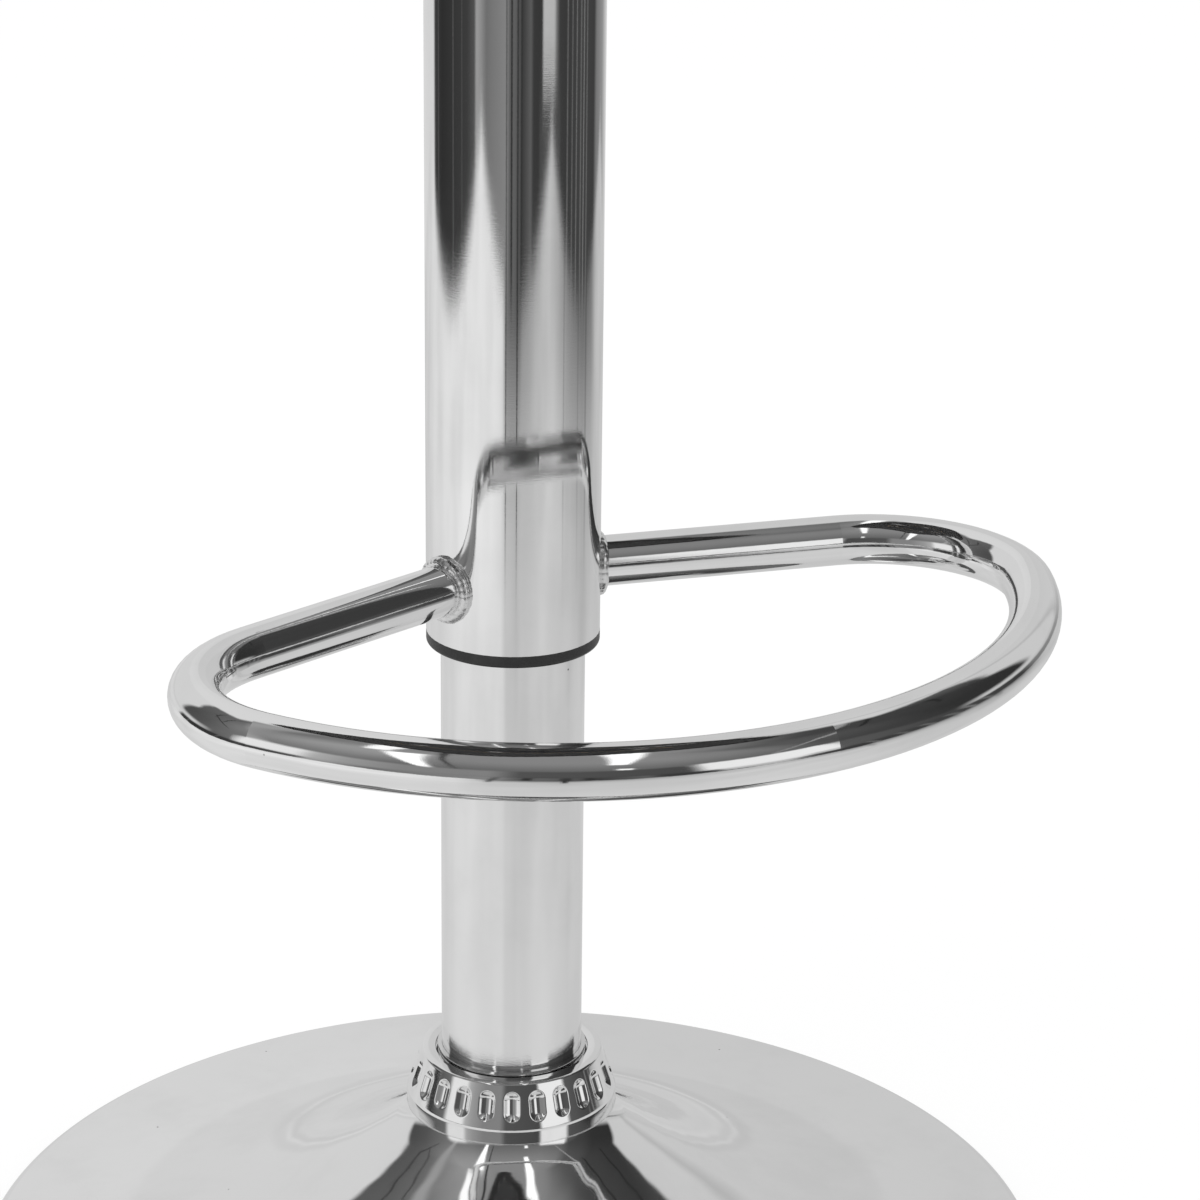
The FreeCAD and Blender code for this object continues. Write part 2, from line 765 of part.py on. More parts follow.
cage = new_body("bearing_cage")
turn(cage, "cage_turn", [
    (s.rod_neck + s.seat_gap, ball_height - s.cage_thickness / 2),
    (s.race_radius, ball_height - s.cage_thickness / 2),
    (s.race_radius, ball_height + s.cage_thickness / 2),
    (s.rod_neck + s.seat_gap, ball_height + s.cage_thickness / 2),
])
cage_hole = cut_pocket(
    cage, "cage_hole",
    lambda sketch: add_circle(sketch, s.ball_circle, NONE, s.ball_radius + s.fit),
    ball_height - s.cage_thickness, 2 * s.cage_thickness,
)
doc.recompute()
cage_holes = cage.newObject("PartDesign::PolarPattern", "cage_holes")
cage_holes.Originals = [cage_hole]
cage_holes.Axis = (origin_item(cage, "Z_Axis"), [""])
cage_holes.Angle = 360
bind(cage_holes, "Occurrences", s.ball_count)
cage.Tip = cage_holes

ring_piece(
    "bumper", s.rod_radius + s.fit, s.bumper_radius,
    race_top + s.fit, race_top + s.fit + s.bumper_height,
)

# Piston rod with its neck through the bearing and its clip below
turned_piece("piston_rod", [
    (NONE, rod_low),
    (s.rod_neck, rod_low),
    (s.rod_neck, clip_low),
    (s.clip_groove, clip_low),
    (s.clip_groove, clip_top),
    (s.rod_neck, clip_top),
    (s.rod_neck, race_top),
    (s.rod_radius, race_top),
    (s.rod_radius, rod_top),
    (NONE, rod_top),
])
ring_piece("rod_washer", s.rod_neck + s.fit, s.washer_radius, clip_top, clip_top + s.washer_thickness)
clip = new_body("rod_clip")
turn(clip, "clip_turn", [
    (s.clip_groove + s.fit, clip_low),
    (s.clip_radius, clip_low),
    (s.clip_radius, clip_top),
    (s.clip_groove + s.fit, clip_top),
])
cut_pocket(
    clip, "clip_mouth",
    lambda sketch: draw_chain(sketch, [
        (NONE, -s.clip_slot / 2), (2 * s.clip_radius, -s.clip_slot / 2),
        (2 * s.clip_radius, s.clip_slot / 2), (NONE, s.clip_slot / 2),
    ]),
    clip_low - s.clip_thickness, 3 * s.clip_thickness,
)
ring_piece(
    "piston", s.rod_radius + s.fit, cylinder_inside - s.running,
    rod_top - s.piston_height, rod_top,
)

# Gas cylinder that slides in the guide bush, with the seal at its foot and the cone at its top
turned_piece("gas_cylinder", [
    (cylinder_inside, cylinder_low),
    (s.cylinder_radius, cylinder_low),
    (s.cylinder_radius, cone_low),
    (cone_tip, cylinder_top),
    (s.pin_radius + s.running, cylinder_top),
    (s.pin_radius + s.running, cylinder_top - s.cylinder_plug),
    (cylinder_inside, cylinder_top - s.cylinder_plug),
])
ring_piece(
    "cylinder_gland", s.rod_radius + s.running, cylinder_inside - s.fit,
    cylinder_low, cylinder_low + s.gland_height,
)
turned_piece("release_pin", [
    (NONE, cylinder_top - s.cylinder_plug),
    (s.pin_radius, cylinder_top - s.cylinder_plug),
    (s.pin_radius, pin_top - s.pin_round),
    (s.pin_radius - s.pin_round / 2, pin_top),
    (NONE, pin_top),
])

# Rising sleeve, with the black bush that runs on the column and the rings inside its top
ring_piece("sleeve", sleeve_inside, s.sleeve_radius, s.sleeve_low, sleeve_top)
turned_piece("sleeve_bush", [
    (s.column_radius + s.running, s.sleeve_low - s.bush_rim),
    (s.sleeve_radius - s.bush_round, s.sleeve_low - s.bush_rim, s.bush_round, 1),
    (s.sleeve_radius, s.sleeve_low - s.bush_rim + s.bush_round),
    (s.sleeve_radius, s.sleeve_low),
    (sleeve_inside - s.fit, s.sleeve_low),
    (sleeve_inside - s.fit, s.sleeve_low + s.bush_depth),
    (s.column_radius + s.running, s.sleeve_low + s.bush_depth),
])
ring_piece(
    "centring_ring", s.cylinder_radius + s.fit, sleeve_inside - s.fit,
    sleeve_top - s.centring_drop - s.centring_height, sleeve_top - s.centring_drop,
)
ring_piece(
    "sleeve_cap", socket_tube + s.fit, sleeve_inside - s.fit, sleeve_top - s.cap_thickness, sleeve_top,
)

# Footrest: half of a bent tube swept from its front, mirrored, and coped to the sleeve
rest = new_body("footrest")
rest_path = new_sketch(rest, "footrest_path", "XY_Plane", rest_level)
draw_chain(rest_path, [
    (NONE, -s.rest_reach, s.rest_front, 1),
    (rest_turn_x, -rest_turn_y, s.rest_corner, 1),
    (leg_length * rest_cosine, s.rest_offset - leg_length * rest_sine),
    (s.sleeve_radius / 2 * rest_cosine, s.rest_offset - s.sleeve_radius / 2 * rest_sine),
], closed=False)
rest_section = new_sketch(rest, "footrest_section", "YZ_Plane")
add_circle(rest_section, -s.rest_reach, rest_level, s.rest_tube)
add_circle(rest_section, -s.rest_reach, rest_level, s.rest_tube - s.rest_wall)
rest_pipe = rest.newObject("PartDesign::AdditivePipe", "footrest_pipe")
rest_pipe.Profile = rest_section
rest_pipe.Spine = rest_path
doc.recompute()
rest_mirror = rest.newObject("PartDesign::Mirrored", "footrest_mirror")
rest_mirror.Originals = [rest_pipe]
rest_mirror.MirrorPlane = (origin_item(rest, "YZ_Plane"), [""])
rest.Tip = rest_mirror
doc.recompute()
cut_pocket(
    rest, "footrest_cope",
    lambda sketch: add_circle(sketch, NONE, NONE, s.sleeve_radius + s.fit),
    rest_level - 2 * s.rest_tube, 4 * s.rest_tube,
)


# Weld beads: a ring of filler round the root of each leg, against the sleeve
def weld_bead(side):
    """A ring round one leg where it meets the sleeve, cut clear of both."""
    sine_now = rest_sine.number
    cosine_now = rest_cosine.number
    offset = s.rest_offset.number
    level = rest_level.number
    reach = offset * sine_now + math.sqrt(s.sleeve_radius.number ** 2 - (offset * cosine_now) ** 2)
    along = FreeCAD.Vector(side * cosine_now, -sine_now, 0)
    start = FreeCAD.Vector(0, offset, level)
    tube = s.rest_tube.number + s.fit.number
    bead = Part.makeTorus(s.rest_tube.number, s.bead_radius.number, start + along * reach, along)
    leg = Part.makeCylinder(tube, s.rest_reach.number, start, along)
    post_low = level - 2 * s.rest_tube.number
    post = Part.makeCylinder(
        s.sleeve_radius.number + s.fit.number, 4 * s.rest_tube.number, FreeCAD.Vector(0, 0, post_low),
    )
    return bead.cut(leg).cut(post)


bead_pair = [max(weld_bead(side).Solids, key=lambda solid: solid.Volume) for side in (1, -1)]
beads = doc.addObject("Part::Feature", "weld_beads")
beads.Shape = Part.makeCompound(bead_pair)
keep("weld_beads", beads)


# Mechanism box: a pressed pan under the seat plate, with a hole for the cone socket and a slot for the lever
def box_outline(inset):
    """The box's outline, drawn in all round by an inset."""
    corners = rounded_corners(box_half - inset, s.box_width / 2 - inset, s.box_corner - inset)
    return [(corner[0] + box_middle,) + tuple(corner[1:]) for corner in corners]


box = new_body("mechanism_box")
raise_pad(
    box, "box_block", lambda sketch: draw_chain(sketch, box_outline(NONE)), sleeve_top, s.box_height,
)
cut_pocket(
    box, "box_hollow", lambda sketch: draw_chain(sketch, box_outline(s.box_sheet)),
    sleeve_top + s.box_sheet, s.box_height,
)
cut_pocket(
    box, "box_bore",
    lambda sketch: add_circle(sketch, NONE, NONE, socket_tube + s.fit),
    sleeve_top - s.box_sheet, 3 * s.box_sheet,
)
cut_pocket(
    box, "box_slot",
    lambda sketch: draw_chain(sketch, [
        (s.box_back - s.box_corner, -s.slot_width / 2), (s.box_back + s.box_corner, -s.slot_width / 2),
        (s.box_back + s.box_corner, s.slot_width / 2), (s.box_back - s.box_corner, s.slot_width / 2),
    ]),
    slot_low, s.slot_height,
)
pin_sketch = new_sketch(box, "box_pin_holes_outline", "XZ_Plane")
add_circle(pin_sketch, s.pivot_across, pivot_level, s.pivot_radius + s.fit)
pin_holes = box.newObject("PartDesign::Pocket", "box_pin_holes")
pin_holes.Profile = pin_sketch
pin_holes.Midplane = True
bind(pin_holes, "Length", 2 * s.box_width)

turned_piece("cone_socket", [
    (socket_wide, socket_low),
    (socket_tube, socket_low),
    (socket_tube, cylinder_top),
    (cone_tip + s.fit, cylinder_top),
])

# Seat plate with four screw holes
plate = new_body("seat_plate")
raise_pad(
    plate, "plate_blank",
    lambda sketch: draw_chain(sketch, rounded_corners(s.plate_length / 2, s.plate_width / 2, s.plate_corner)),
    plate_low, s.plate_thickness,
)


def draw_screw_holes(sketch, radius):
    for side in (1, -1):
        for end in (1, -1):
            add_circle(sketch, side * s.screw_across, end * s.screw_along, radius)


cut_pocket(
    plate, "plate_holes", lambda sketch: draw_screw_holes(sketch, screw_hole),
    plate_low - s.plate_thickness, 3 * s.plate_thickness,
)

# Lever: a pressed tongue on a pivot pin, a bent rod and a plastic grip
tongue = new_body("lever_tongue")
tongue_sketch = new_sketch(tongue, "tongue_outline", "XZ_Plane")
draw_chain(tongue_sketch, [
    (-s.tongue_tip, tongue_low),
    (s.lug_length, tongue_low),
    (s.lug_length, plate_low - s.lug_drop),
    (s.lever_level, plate_low - s.lug_drop),
    (s.lever_level, tongue_low + s.tongue_thickness),
    (-s.tongue_tip, tongue_low + s.tongue_thickness),
])
tongue_pad = tongue.newObject("PartDesign::Pad", "tongue_pad")
tongue_pad.Profile = tongue_sketch
tongue_pad.Midplane = True
bind(tongue_pad, "Length", s.tongue_width)
tongue_hole_sketch = new_sketch(tongue, "tongue_hole_outline", "XZ_Plane")
add_circle(tongue_hole_sketch, s.pivot_across, pivot_level, s.pivot_radius + s.running)
tongue_hole = tongue.newObject("PartDesign::Pocket", "tongue_hole")
tongue_hole.Profile = tongue_hole_sketch
tongue_hole.Midplane = True
bind(tongue_hole, "Length", 2 * s.tongue_width)

lever_pin = doc.addObject("Part::Cylinder", "lever_pin")
bind(lever_pin, "Radius", s.pivot_radius)
bind(lever_pin, "Height", s.box_width + 2 * s.box_sheet)
lever_pin.Placement = FreeCAD.Placement(
    FreeCAD.Vector(0, 0, 0), FreeCAD.Rotation(FreeCAD.Vector(1, 0, 0), 90),
)
bind(lever_pin, ".Placement.Base.x", s.pivot_across)
bind(lever_pin, ".Placement.Base.y", s.box_width / 2 + s.box_sheet)
bind(lever_pin, ".Placement.Base.z", pivot_level)
keep("lever_pin", lever_pin)

lever = new_body("lever_rod")
lever_path = new_sketch(lever, "lever_path", "XZ_Plane")
draw_chain(lever_path, [
    (s.lever_level, pivot_level),
    (bend_start, pivot_level),
    (bend_end, grip_level),
    (s.lever_end, grip_level),
], closed=False)
lever_section = new_sketch(lever, "lever_section", "YZ_Plane", s.lever_level)
add_circle(lever_section, NONE, pivot_level, s.lever_radius)
lever_pipe = lever.newObject("PartDesign::AdditivePipe", "lever_pipe")
lever_pipe.Profile = lever_section
lever_pipe.Spine = lever_path
lever_pipe.Transition = "Round corner"

grip = new_body("lever_grip")
grip_sketch = new_sketch(grip, "grip_outline", "XZ_Plane")
grip_sketch.AttachmentOffset = FreeCAD.Placement(FreeCAD.Vector(0, grip_level.number, 0), FreeCAD.Rotation())
bind(grip_sketch, ".AttachmentOffset.Base.y", grip_level)
draw_chain(grip_sketch, [
    (grip_end - s.grip_length, s.lever_radius + s.fit),
    (s.lever_end + s.fit, s.lever_radius + s.fit),
    (s.lever_end + s.fit, NONE),
    (grip_end, NONE),
    (grip_end, s.grip_radius - s.grip_round, s.grip_round, 1),
    (grip_end - s.grip_round, s.grip_radius),
    (grip_end - s.grip_length + s.grip_round, s.grip_radius, s.grip_round, 1),
    (grip_end - s.grip_length, s.grip_radius - s.grip_round),
])
grip_turn = grip.newObject("PartDesign::Revolution", "grip_turn")
grip_turn.Profile = grip_sketch
grip_turn.ReferenceAxis = (grip_sketch, ["H_Axis"])
grip_turn.Angle = 360


# Plywood board with the four nuts, screws and washers that hold the plate to it
def board_outline(margin):
    """The board's outline, let out all round by a margin."""
    return bowed_corners(board_width + margin, board_depth + margin, board_corner + margin, s.seat_side_turn)


board = new_body("seat_board")
raise_pad(
    board, "board_blank", lambda sketch: draw_chain(sketch, board_outline(NONE)),
    board_low, s.board_thickness,
)
cut_pocket(
    board, "board_holes", lambda sketch: draw_screw_holes(sketch, s.tee_barrel + s.fit),
    board_low - s.board_thickness, 3 * s.board_thickness,
)

screw_places = [
    FreeCAD.Vector(side * s.screw_across.number, end * s.screw_along.number, 0)
    for side in (1, -1)
    for end in (1, -1)
]


def four_of(name, shape):
    """Sets four copies of a shape at the screw places."""
    group = doc.addObject("Part::Feature", name)
    group.Shape = Part.makeCompound([shape.translated(place) for place in screw_places])
    return keep(name, group)


def tube(inner, outer, low, high):
    """A short tube about the Z axis."""
    base = FreeCAD.Vector(0, 0, low.number)
    height = high.number - low.number
    solid = Part.makeCylinder(outer.number, height, base)
    return solid.cut(Part.makeCylinder(inner.number, height, base))


def screw_shape():
    """A pan-headed screw with a square recess in its head, pointing up."""
    seat = plate_low.number - s.ring_thickness.number
    drive = s.screw_drive.number
    shank = Part.makeCylinder(s.screw_radius.number, s.screw_length.number, FreeCAD.Vector(0, 0, seat))
    head = Part.makeCylinder(
        s.screw_head.number, s.screw_head_height.number,
        FreeCAD.Vector(0, 0, seat - s.screw_head_height.number),
    )
    rim = [edge for edge in head.Edges if edge.BoundBox.ZMax < seat - s.screw_head_height.number / 2]
    head = head.makeFillet(s.screw_head_height.number / 2, rim)
    recess = Part.makeBox(
        2 * drive, 2 * drive, drive,
        FreeCAD.Vector(-drive, -drive, seat - s.screw_head_height.number),
    )
    return shank.fuse(head).cut(recess).removeSplitter()


def tee_nut_shape():
    """A tee nut: a flange on the board's top and a barrel down into its hole."""
    bore = s.screw_radius + s.fit
    barrel = tube(bore, s.tee_barrel, board_top - s.tee_length, board_top)
    flange = tube(bore, s.tee_radius, board_top, board_top + s.tee_flange)
    return barrel.fuse(flange).removeSplitter()


four_of("seat_screws", screw_shape())
four_of("screw_washers", tube(s.screw_radius + s.fit, s.ring_radius, plate_low - s.ring_thickness, plate_low))
four_of("tee_nuts", tee_nut_shape())

# Thin cover under the board, open round the seat plate
under = new_body("under_cover")
raise_pad(
    under, "under_blank", lambda sketch: draw_chain(sketch, board_outline(-s.under_margin)),
    under_low, s.under_thickness,
)
cut_pocket(
    under, "under_opening",
    lambda sketch: draw_chain(sketch, rounded_corners(
        s.plate_length / 2 + s.under_gap, s.plate_width / 2 + s.under_gap, s.plate_corner + s.under_gap,
    )),
    under_low - s.under_thickness, 3 * s.under_thickness,
)


# Padded seat: foam and a sewn cover of the same form, crowned, drawn in at the sides and channelled
def padded_form(body, name, skin, low):
    """The seat's form, drawn in all round by the skin's thickness."""
    reach = 2 * s.seat_half_width
    raise_pad(
        body, name + "_block",
        lambda sketch: draw_chain(sketch, bowed_corners(
            s.seat_half_width - skin, s.seat_half_depth - skin, s.seat_corner - skin, s.seat_side_turn,
        )),
        low, seat_top - low,
    )
    crown_round = s.seat_crown - skin
    fall = crown_middle + root(crown_round * crown_round - reach * reach)
    crowned = turn(body, name + "_crown", [
        (NONE, seat_top - skin, crown_round, -1),
        (reach, fall),
        (reach, seat_top + s.overrun),
        (NONE, seat_top + s.overrun),
    ], kind="PartDesign::Groove", plane="YZ_Plane")
    top_rounded = round_edges(
        body, crowned, name + "_top_edge", s.seat_edge - skin,
        lambda edge: edge.BoundBox.ZMin > low.number + s.seat_foot_edge.number,
    )
    round_edges(
        body, top_rounded, name + "_foot_edge", s.seat_foot_edge - skin, lambda edge: at_height(edge, low),
    )


def channels(body, name, skin):
    """Sunk lines across the seat that follow its crown."""
    for index in range(int(s.channel_count.number)):
        place = (as_size(index) - (s.channel_count - as_size(1)) / 2) * s.channel_spacing
        sketch = new_sketch(body, f"{name}_channel_{index + 1}_outline", "YZ_Plane")
        bind(sketch, ".AttachmentOffset.Base.y", crown_middle)
        add_circle(sketch, place, root(s.seat_crown * s.seat_crown - place * place), s.channel_radius + skin)
        groove = body.newObject("PartDesign::Groove", f"{name}_channel_{index + 1}")
        groove.Profile = sketch
        groove.ReferenceAxis = (sketch, ["H_Axis"])
        groove.Midplane = True
        bind(groove, "Angle", s.channel_sweep)
        sketch.Visibility = False


def board_pocket(body, name, low):
    """Room for the board and its nuts, open below."""
    cut_pocket(
        body, name + "_board", lambda sketch: draw_chain(sketch, board_outline(s.fit)),
        low - s.overrun, board_top + s.tee_flange + s.fit - low + s.overrun,
    )


foam = new_body("seat_foam")
padded_form(foam, "foam", s.seat_skin + s.fit, foam_low)
channels(foam, "foam", s.seat_skin + s.fit)
board_pocket(foam, "foam", foam_low)

cover_outer = doc.addObject("PartDesign::Body", "cover_outer")
padded_form(cover_outer, "cover", NONE, board_low)
channels(cover_outer, "cover", NONE)
board_pocket(cover_outer, "cover", board_low)
cover_inner = doc.addObject("PartDesign::Body", "cover_inner")
padded_form(cover_inner, "lining", s.seat_skin, foam_low - s.fit)
channels(cover_inner, "lining", s.seat_skin)
doc.recompute()
cover = doc.addObject("Part::Cut", "seat_cover")
cover.Base = cover_outer
cover.Tool = cover_inner
keep("seat_cover", cover)

# Piping sewn round the seat
piping = new_body("seat_piping")
piping_corners = bowed_corners(s.seat_half_width, s.seat_half_depth, s.seat_corner, s.seat_side_turn)
piping_path = new_sketch(piping, "piping_path", "XY_Plane", piping_level)
draw_chain(piping_path, piping_corners + [(NONE, piping_front, hollow_round, -1)])
piping_section = new_sketch(piping, "piping_section", "YZ_Plane")
add_circle(piping_section, piping_front, piping_level, s.piping_radius)
piping_pipe = piping.newObject("PartDesign::AdditivePipe", "piping_pipe")
piping_pipe.Profile = piping_section
piping_pipe.Spine = piping_path


def check_and_write():
    """Refuses a failed object or a bad solid, then writes each piece to its own file."""
    doc.recompute()
    for thing in doc.Objects:
        if "Invalid" in thing.State or "Error" in thing.State:
            raise RuntimeError(f"{thing.Name} failed: {thing.State}")
    for name, thing in pieces.items():
        if thing.Shape.isNull() or not thing.Shape.isValid() or not thing.Shape.Solids:
            raise RuntimeError(f"{name} has no sound solid")
    os.makedirs("parts", exist_ok=True)
    for name, thing in pieces.items():
        thing.Shape.exportStep(f"parts/{name}.step")
        print(name, len(thing.Shape.Solids), round(thing.Shape.Volume, 1))


check_and_write()
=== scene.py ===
"""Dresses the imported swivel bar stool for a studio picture.

Every hard node of the CAD model keeps its place and gets a finish. The base's sheet, its collar, the seat's
cover and foam, its piping, the cloth under it and the weld beads are made here in more detail. The stage is
a white sheet of paper on a studio floor, whose darker surroundings show only in the chrome.
"""

import json
import logging
import math
from dataclasses import dataclass
from enum import Enum

import bmesh
import bpy
import numpy as np
from mathutils import Matrix, Vector


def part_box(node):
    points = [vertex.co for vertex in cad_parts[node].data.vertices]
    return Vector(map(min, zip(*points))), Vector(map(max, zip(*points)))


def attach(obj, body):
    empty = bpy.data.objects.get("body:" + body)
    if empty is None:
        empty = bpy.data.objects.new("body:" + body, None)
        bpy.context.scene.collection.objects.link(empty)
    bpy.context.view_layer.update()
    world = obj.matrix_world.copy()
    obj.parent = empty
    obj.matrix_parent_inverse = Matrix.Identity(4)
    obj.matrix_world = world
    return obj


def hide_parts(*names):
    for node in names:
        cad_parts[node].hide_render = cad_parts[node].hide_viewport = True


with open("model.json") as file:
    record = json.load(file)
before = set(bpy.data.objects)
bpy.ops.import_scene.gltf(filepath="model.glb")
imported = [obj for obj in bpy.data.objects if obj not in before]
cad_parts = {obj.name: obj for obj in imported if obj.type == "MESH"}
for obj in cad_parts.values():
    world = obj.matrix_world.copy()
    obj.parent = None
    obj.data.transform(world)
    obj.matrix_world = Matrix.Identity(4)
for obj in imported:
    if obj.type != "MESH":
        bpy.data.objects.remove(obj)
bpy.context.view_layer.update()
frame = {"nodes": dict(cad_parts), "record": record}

log = logging.getLogger("stool")

Node = bpy.types.Node
Piece = bpy.types.Object
Socket = bpy.types.NodeSocket
Span = tuple[float, float]
Stops = tuple[Span, ...]
Triple = tuple[float, float, float]

# Between these two lie most of a noise's values
NOISE_SPAN: Span = (0.3, 0.7)

# The corner's radius and the sides' turn of the seat, its hem and the sheet under it
SEAT_CORNER = 0.070
SIDE_TURN = math.radians(3.5)


class Body(Enum):
    """The bodies that new pieces ride on."""

    BASE = "base"
    SEAT = "seat"


def radians(*degrees: float) -> tuple[float, ...]:
    """Angles in radians."""
    return tuple(math.radians(angle) for angle in degrees)


def bearing_place(bearing: float) -> float:
    """A bearing in degrees as a place on a ramp from -180 to 180."""
    return (bearing + 180.0) / 360.0


@dataclass(frozen=True)
class Streak:
    """A thin upright line in the studio: its bearing and half its width in degrees, and how much it dims."""

    bearing: float
    half_width: float
    share: float
    soft: float = 0.4


class Graph:
    """A node tree, with short ways to add nodes and join them."""

    def __init__(self, tree: bpy.types.NodeTree) -> None:
        """Keeps the tree.

        Args:
            tree: The node tree of a material, a world or a node group.
        """
        self.tree = tree

    def feed(self, socket: Socket, value: object) -> None:
        """Links a socket to another one, or gives it a value.

        Args:
            socket: The input to feed.
            value: An output socket, a number or a tuple.
        """
        if isinstance(value, Socket):
            self.tree.links.new(value, socket)
        else:
            socket.default_value = value

    def add(self, kind: str, feeds: dict[str | int, object] | None = None, **settings: object) -> Node:
        """Adds a node.

        Args:
            kind: The node's type.
            feeds: What goes into its inputs, by their names or numbers.
            settings: Properties to set on it.

        Returns:
            The new node.
        """
        node = self.tree.nodes.new(kind)
        for name, value in settings.items():
            setattr(node, name, value)
        for key, value in (feeds or {}).items():
            self.feed(node.inputs[key], value)
        return node

    def math(self, operation: str, *values: object) -> Socket:
        """Adds a Math node.

        Args:
            operation: The operation's name.
            values: Sockets or numbers, in the order of its inputs.

        Returns:
            Its output.
        """
        return self.add("ShaderNodeMath", dict(enumerate(values)), operation=operation).outputs[0]

    def product(self, *values: object) -> Socket:
        """Multiplies two or more numbers."""
        total = values[0]
        for value in values[1:]:
            total = self.math("MULTIPLY", total, value)
        return total

    def off(self, value: object, middle: object = 0.0) -> Socket:
        """How far a number is from a middle value, on either side."""
        return self.math("ABSOLUTE", self.math("SUBTRACT", value, middle))

    def vector(self, operation: str, *values: object, output: str = "Vector") -> Socket:
        """Adds a Vector Math node.

        Args:
            operation: The operation's name.
            values: Sockets or tuples, in the order of its inputs.
            output: The name of the output that is wanted.

        Returns:
            That output.
        """
        node = self.add("ShaderNodeVectorMath", dict(enumerate(values)), operation=operation)
        return node.outputs[output]

    def share(self, direction: object, axis: Triple) -> Socket:
        """How much of a direction lies along an axis."""
        return self.vector("DOT_PRODUCT", direction, axis, output="Value")

    def mix(self, factor: object, low: object, high: object) -> Socket:
        """Mixes two numbers.

        Args:
            factor: How much of the second is taken.
            low: The first number or socket.
            high: The second number or socket.

        Returns:
            The mixed number.
        """
        feeds = {0: factor, 2: low, 3: high}
        return self.add("ShaderNodeMix", feeds, data_type="FLOAT", clamp_factor=True).outputs[0]

    def mix_colour(self, factor: object, low: object, high: object) -> Socket:
        """Mixes two colours.

        Args:
            factor: How much of the second is taken.
            low: The first colour or socket.
            high: The second colour or socket.

        Returns:
            The mixed colour.
        """
        feeds = {0: factor, 6: low, 7: high}
        return self.add("ShaderNodeMix", feeds, data_type="RGBA", clamp_factor=True).outputs[2]

    def noise(self, place: object, scale: float, detail: float = 3.0, rough: float = 0.5) -> Socket:
        """Adds a Noise Texture.

        Args:
            place: The coordinates.
            scale: Cycles in a metre.
            detail: Octaves.
            rough: Strength of the finer octaves.

        Returns:
            The noise, about 0.5 on average.
        """
        feeds = {"Vector": place, "Scale": scale, "Detail": detail, "Roughness": rough}
        return self.add("ShaderNodeTexNoise", feeds).outputs["Fac"]

    def range(self, value: object, low: object, high: object, first: object = 0.0,
              last: object = 1.0) -> Socket:
        """Maps a range of numbers to another one, eased at both ends.

        Args:
            value: The number or socket.
            low: The value that gives first.
            high: The value that gives last.
            first: The result at low and beyond it.
            last: The result at high and beyond it.

        Returns:
            The mapped number.
        """
        feeds = dict(enumerate((value, low, high, first, last)))
        node = self.add("ShaderNodeMapRange", feeds, interpolation_type="SMOOTHSTEP", clamp=True)
        return node.outputs[0]

    def ramp(self, bearing: object, stops: Stops) -> Socket:
        """Adds a Color Ramp of greys.

        Args:
            bearing: The bearing as a place on the ramp.
            stops: Pairs of bearing in degrees and grey level.

        Returns:
            The ramp's colour.
        """
        node = self.add("ShaderNodeValToRGB", {0: bearing})
        elements = node.color_ramp.elements
        while len(elements) < len(stops):
            elements.new(1.0)
        for element, (angle, grey) in zip(elements, stops):
            element.position = bearing_place(angle)
            element.color = (grey, grey, grey, 1.0)
        return node.outputs["Color"]

    def lined(self, value: object, bearing: object, lines: tuple[Streak, ...]) -> Socket:
        """Dims or brightens a number along thin upright lines.

        Args:
            value: The number's socket.
            bearing: The bearing as a place on a ramp.
            lines: The lines.

        Returns:
            The number with the lines in it.
        """
        for thin in lines:
            half = thin.half_width / 360.0
            off = self.off(bearing, bearing_place(thin.bearing))
            factor = self.range(off, half * (1.0 + thin.soft), half * (1.0 - thin.soft), 1.0, thin.share)
            value = self.product(value, factor)
        return value

    def place(self) -> Socket:
        """The object's own coordinates, in metres."""
        return self.add("ShaderNodeTexCoord").outputs["Object"]

    def rays(self) -> tuple[Socket, Socket]:
        """Whether a ray comes from the camera, and whether it comes from a mirror or glass."""
        path = self.add("ShaderNodeLightPath").outputs
        mirrored = self.math("MAXIMUM", path["Is Glossy Ray"], path["Is Transmission Ray"])
        return path["Is Camera Ray"], mirrored


def shader_group(name: str, inputs: dict[str, str], outputs: tuple[str, ...]) -> tuple[Graph, Node, Node]:
    """Starts a shader node group whose outputs are numbers.

    Args:
        name: The group's name.
        inputs: The kind of each input, Vector or Float, by its name.
        outputs: The names of its outputs.

    Returns:
        The group's graph, the node that gives its inputs and the node that takes its outputs.
    """
    tree = bpy.data.node_groups.new(name, "ShaderNodeTree")
    for label, kind in inputs.items():
        tree.interface.new_socket(label, in_out="INPUT", socket_type=f"NodeSocket{kind}")
    for label in outputs:
        tree.interface.new_socket(label, in_out="OUTPUT", socket_type="NodeSocketFloat")
    graph = Graph(tree)
    return graph, graph.add("NodeGroupInput"), graph.add("NodeGroupOutput")


@dataclass(frozen=True)
class Toward:
    """Level directions seen from the stool: the bearing is 0 toward the camera and grows to its right."""

    turn: float

    def toward(self) -> Triple:
        """The level direction to the camera."""
        return (-math.sin(self.turn), -math.cos(self.turn), 0.0)

    def right(self) -> Triple:
        """The level direction to the picture's right."""
        return (math.cos(self.turn), -math.sin(self.turn), 0.0)


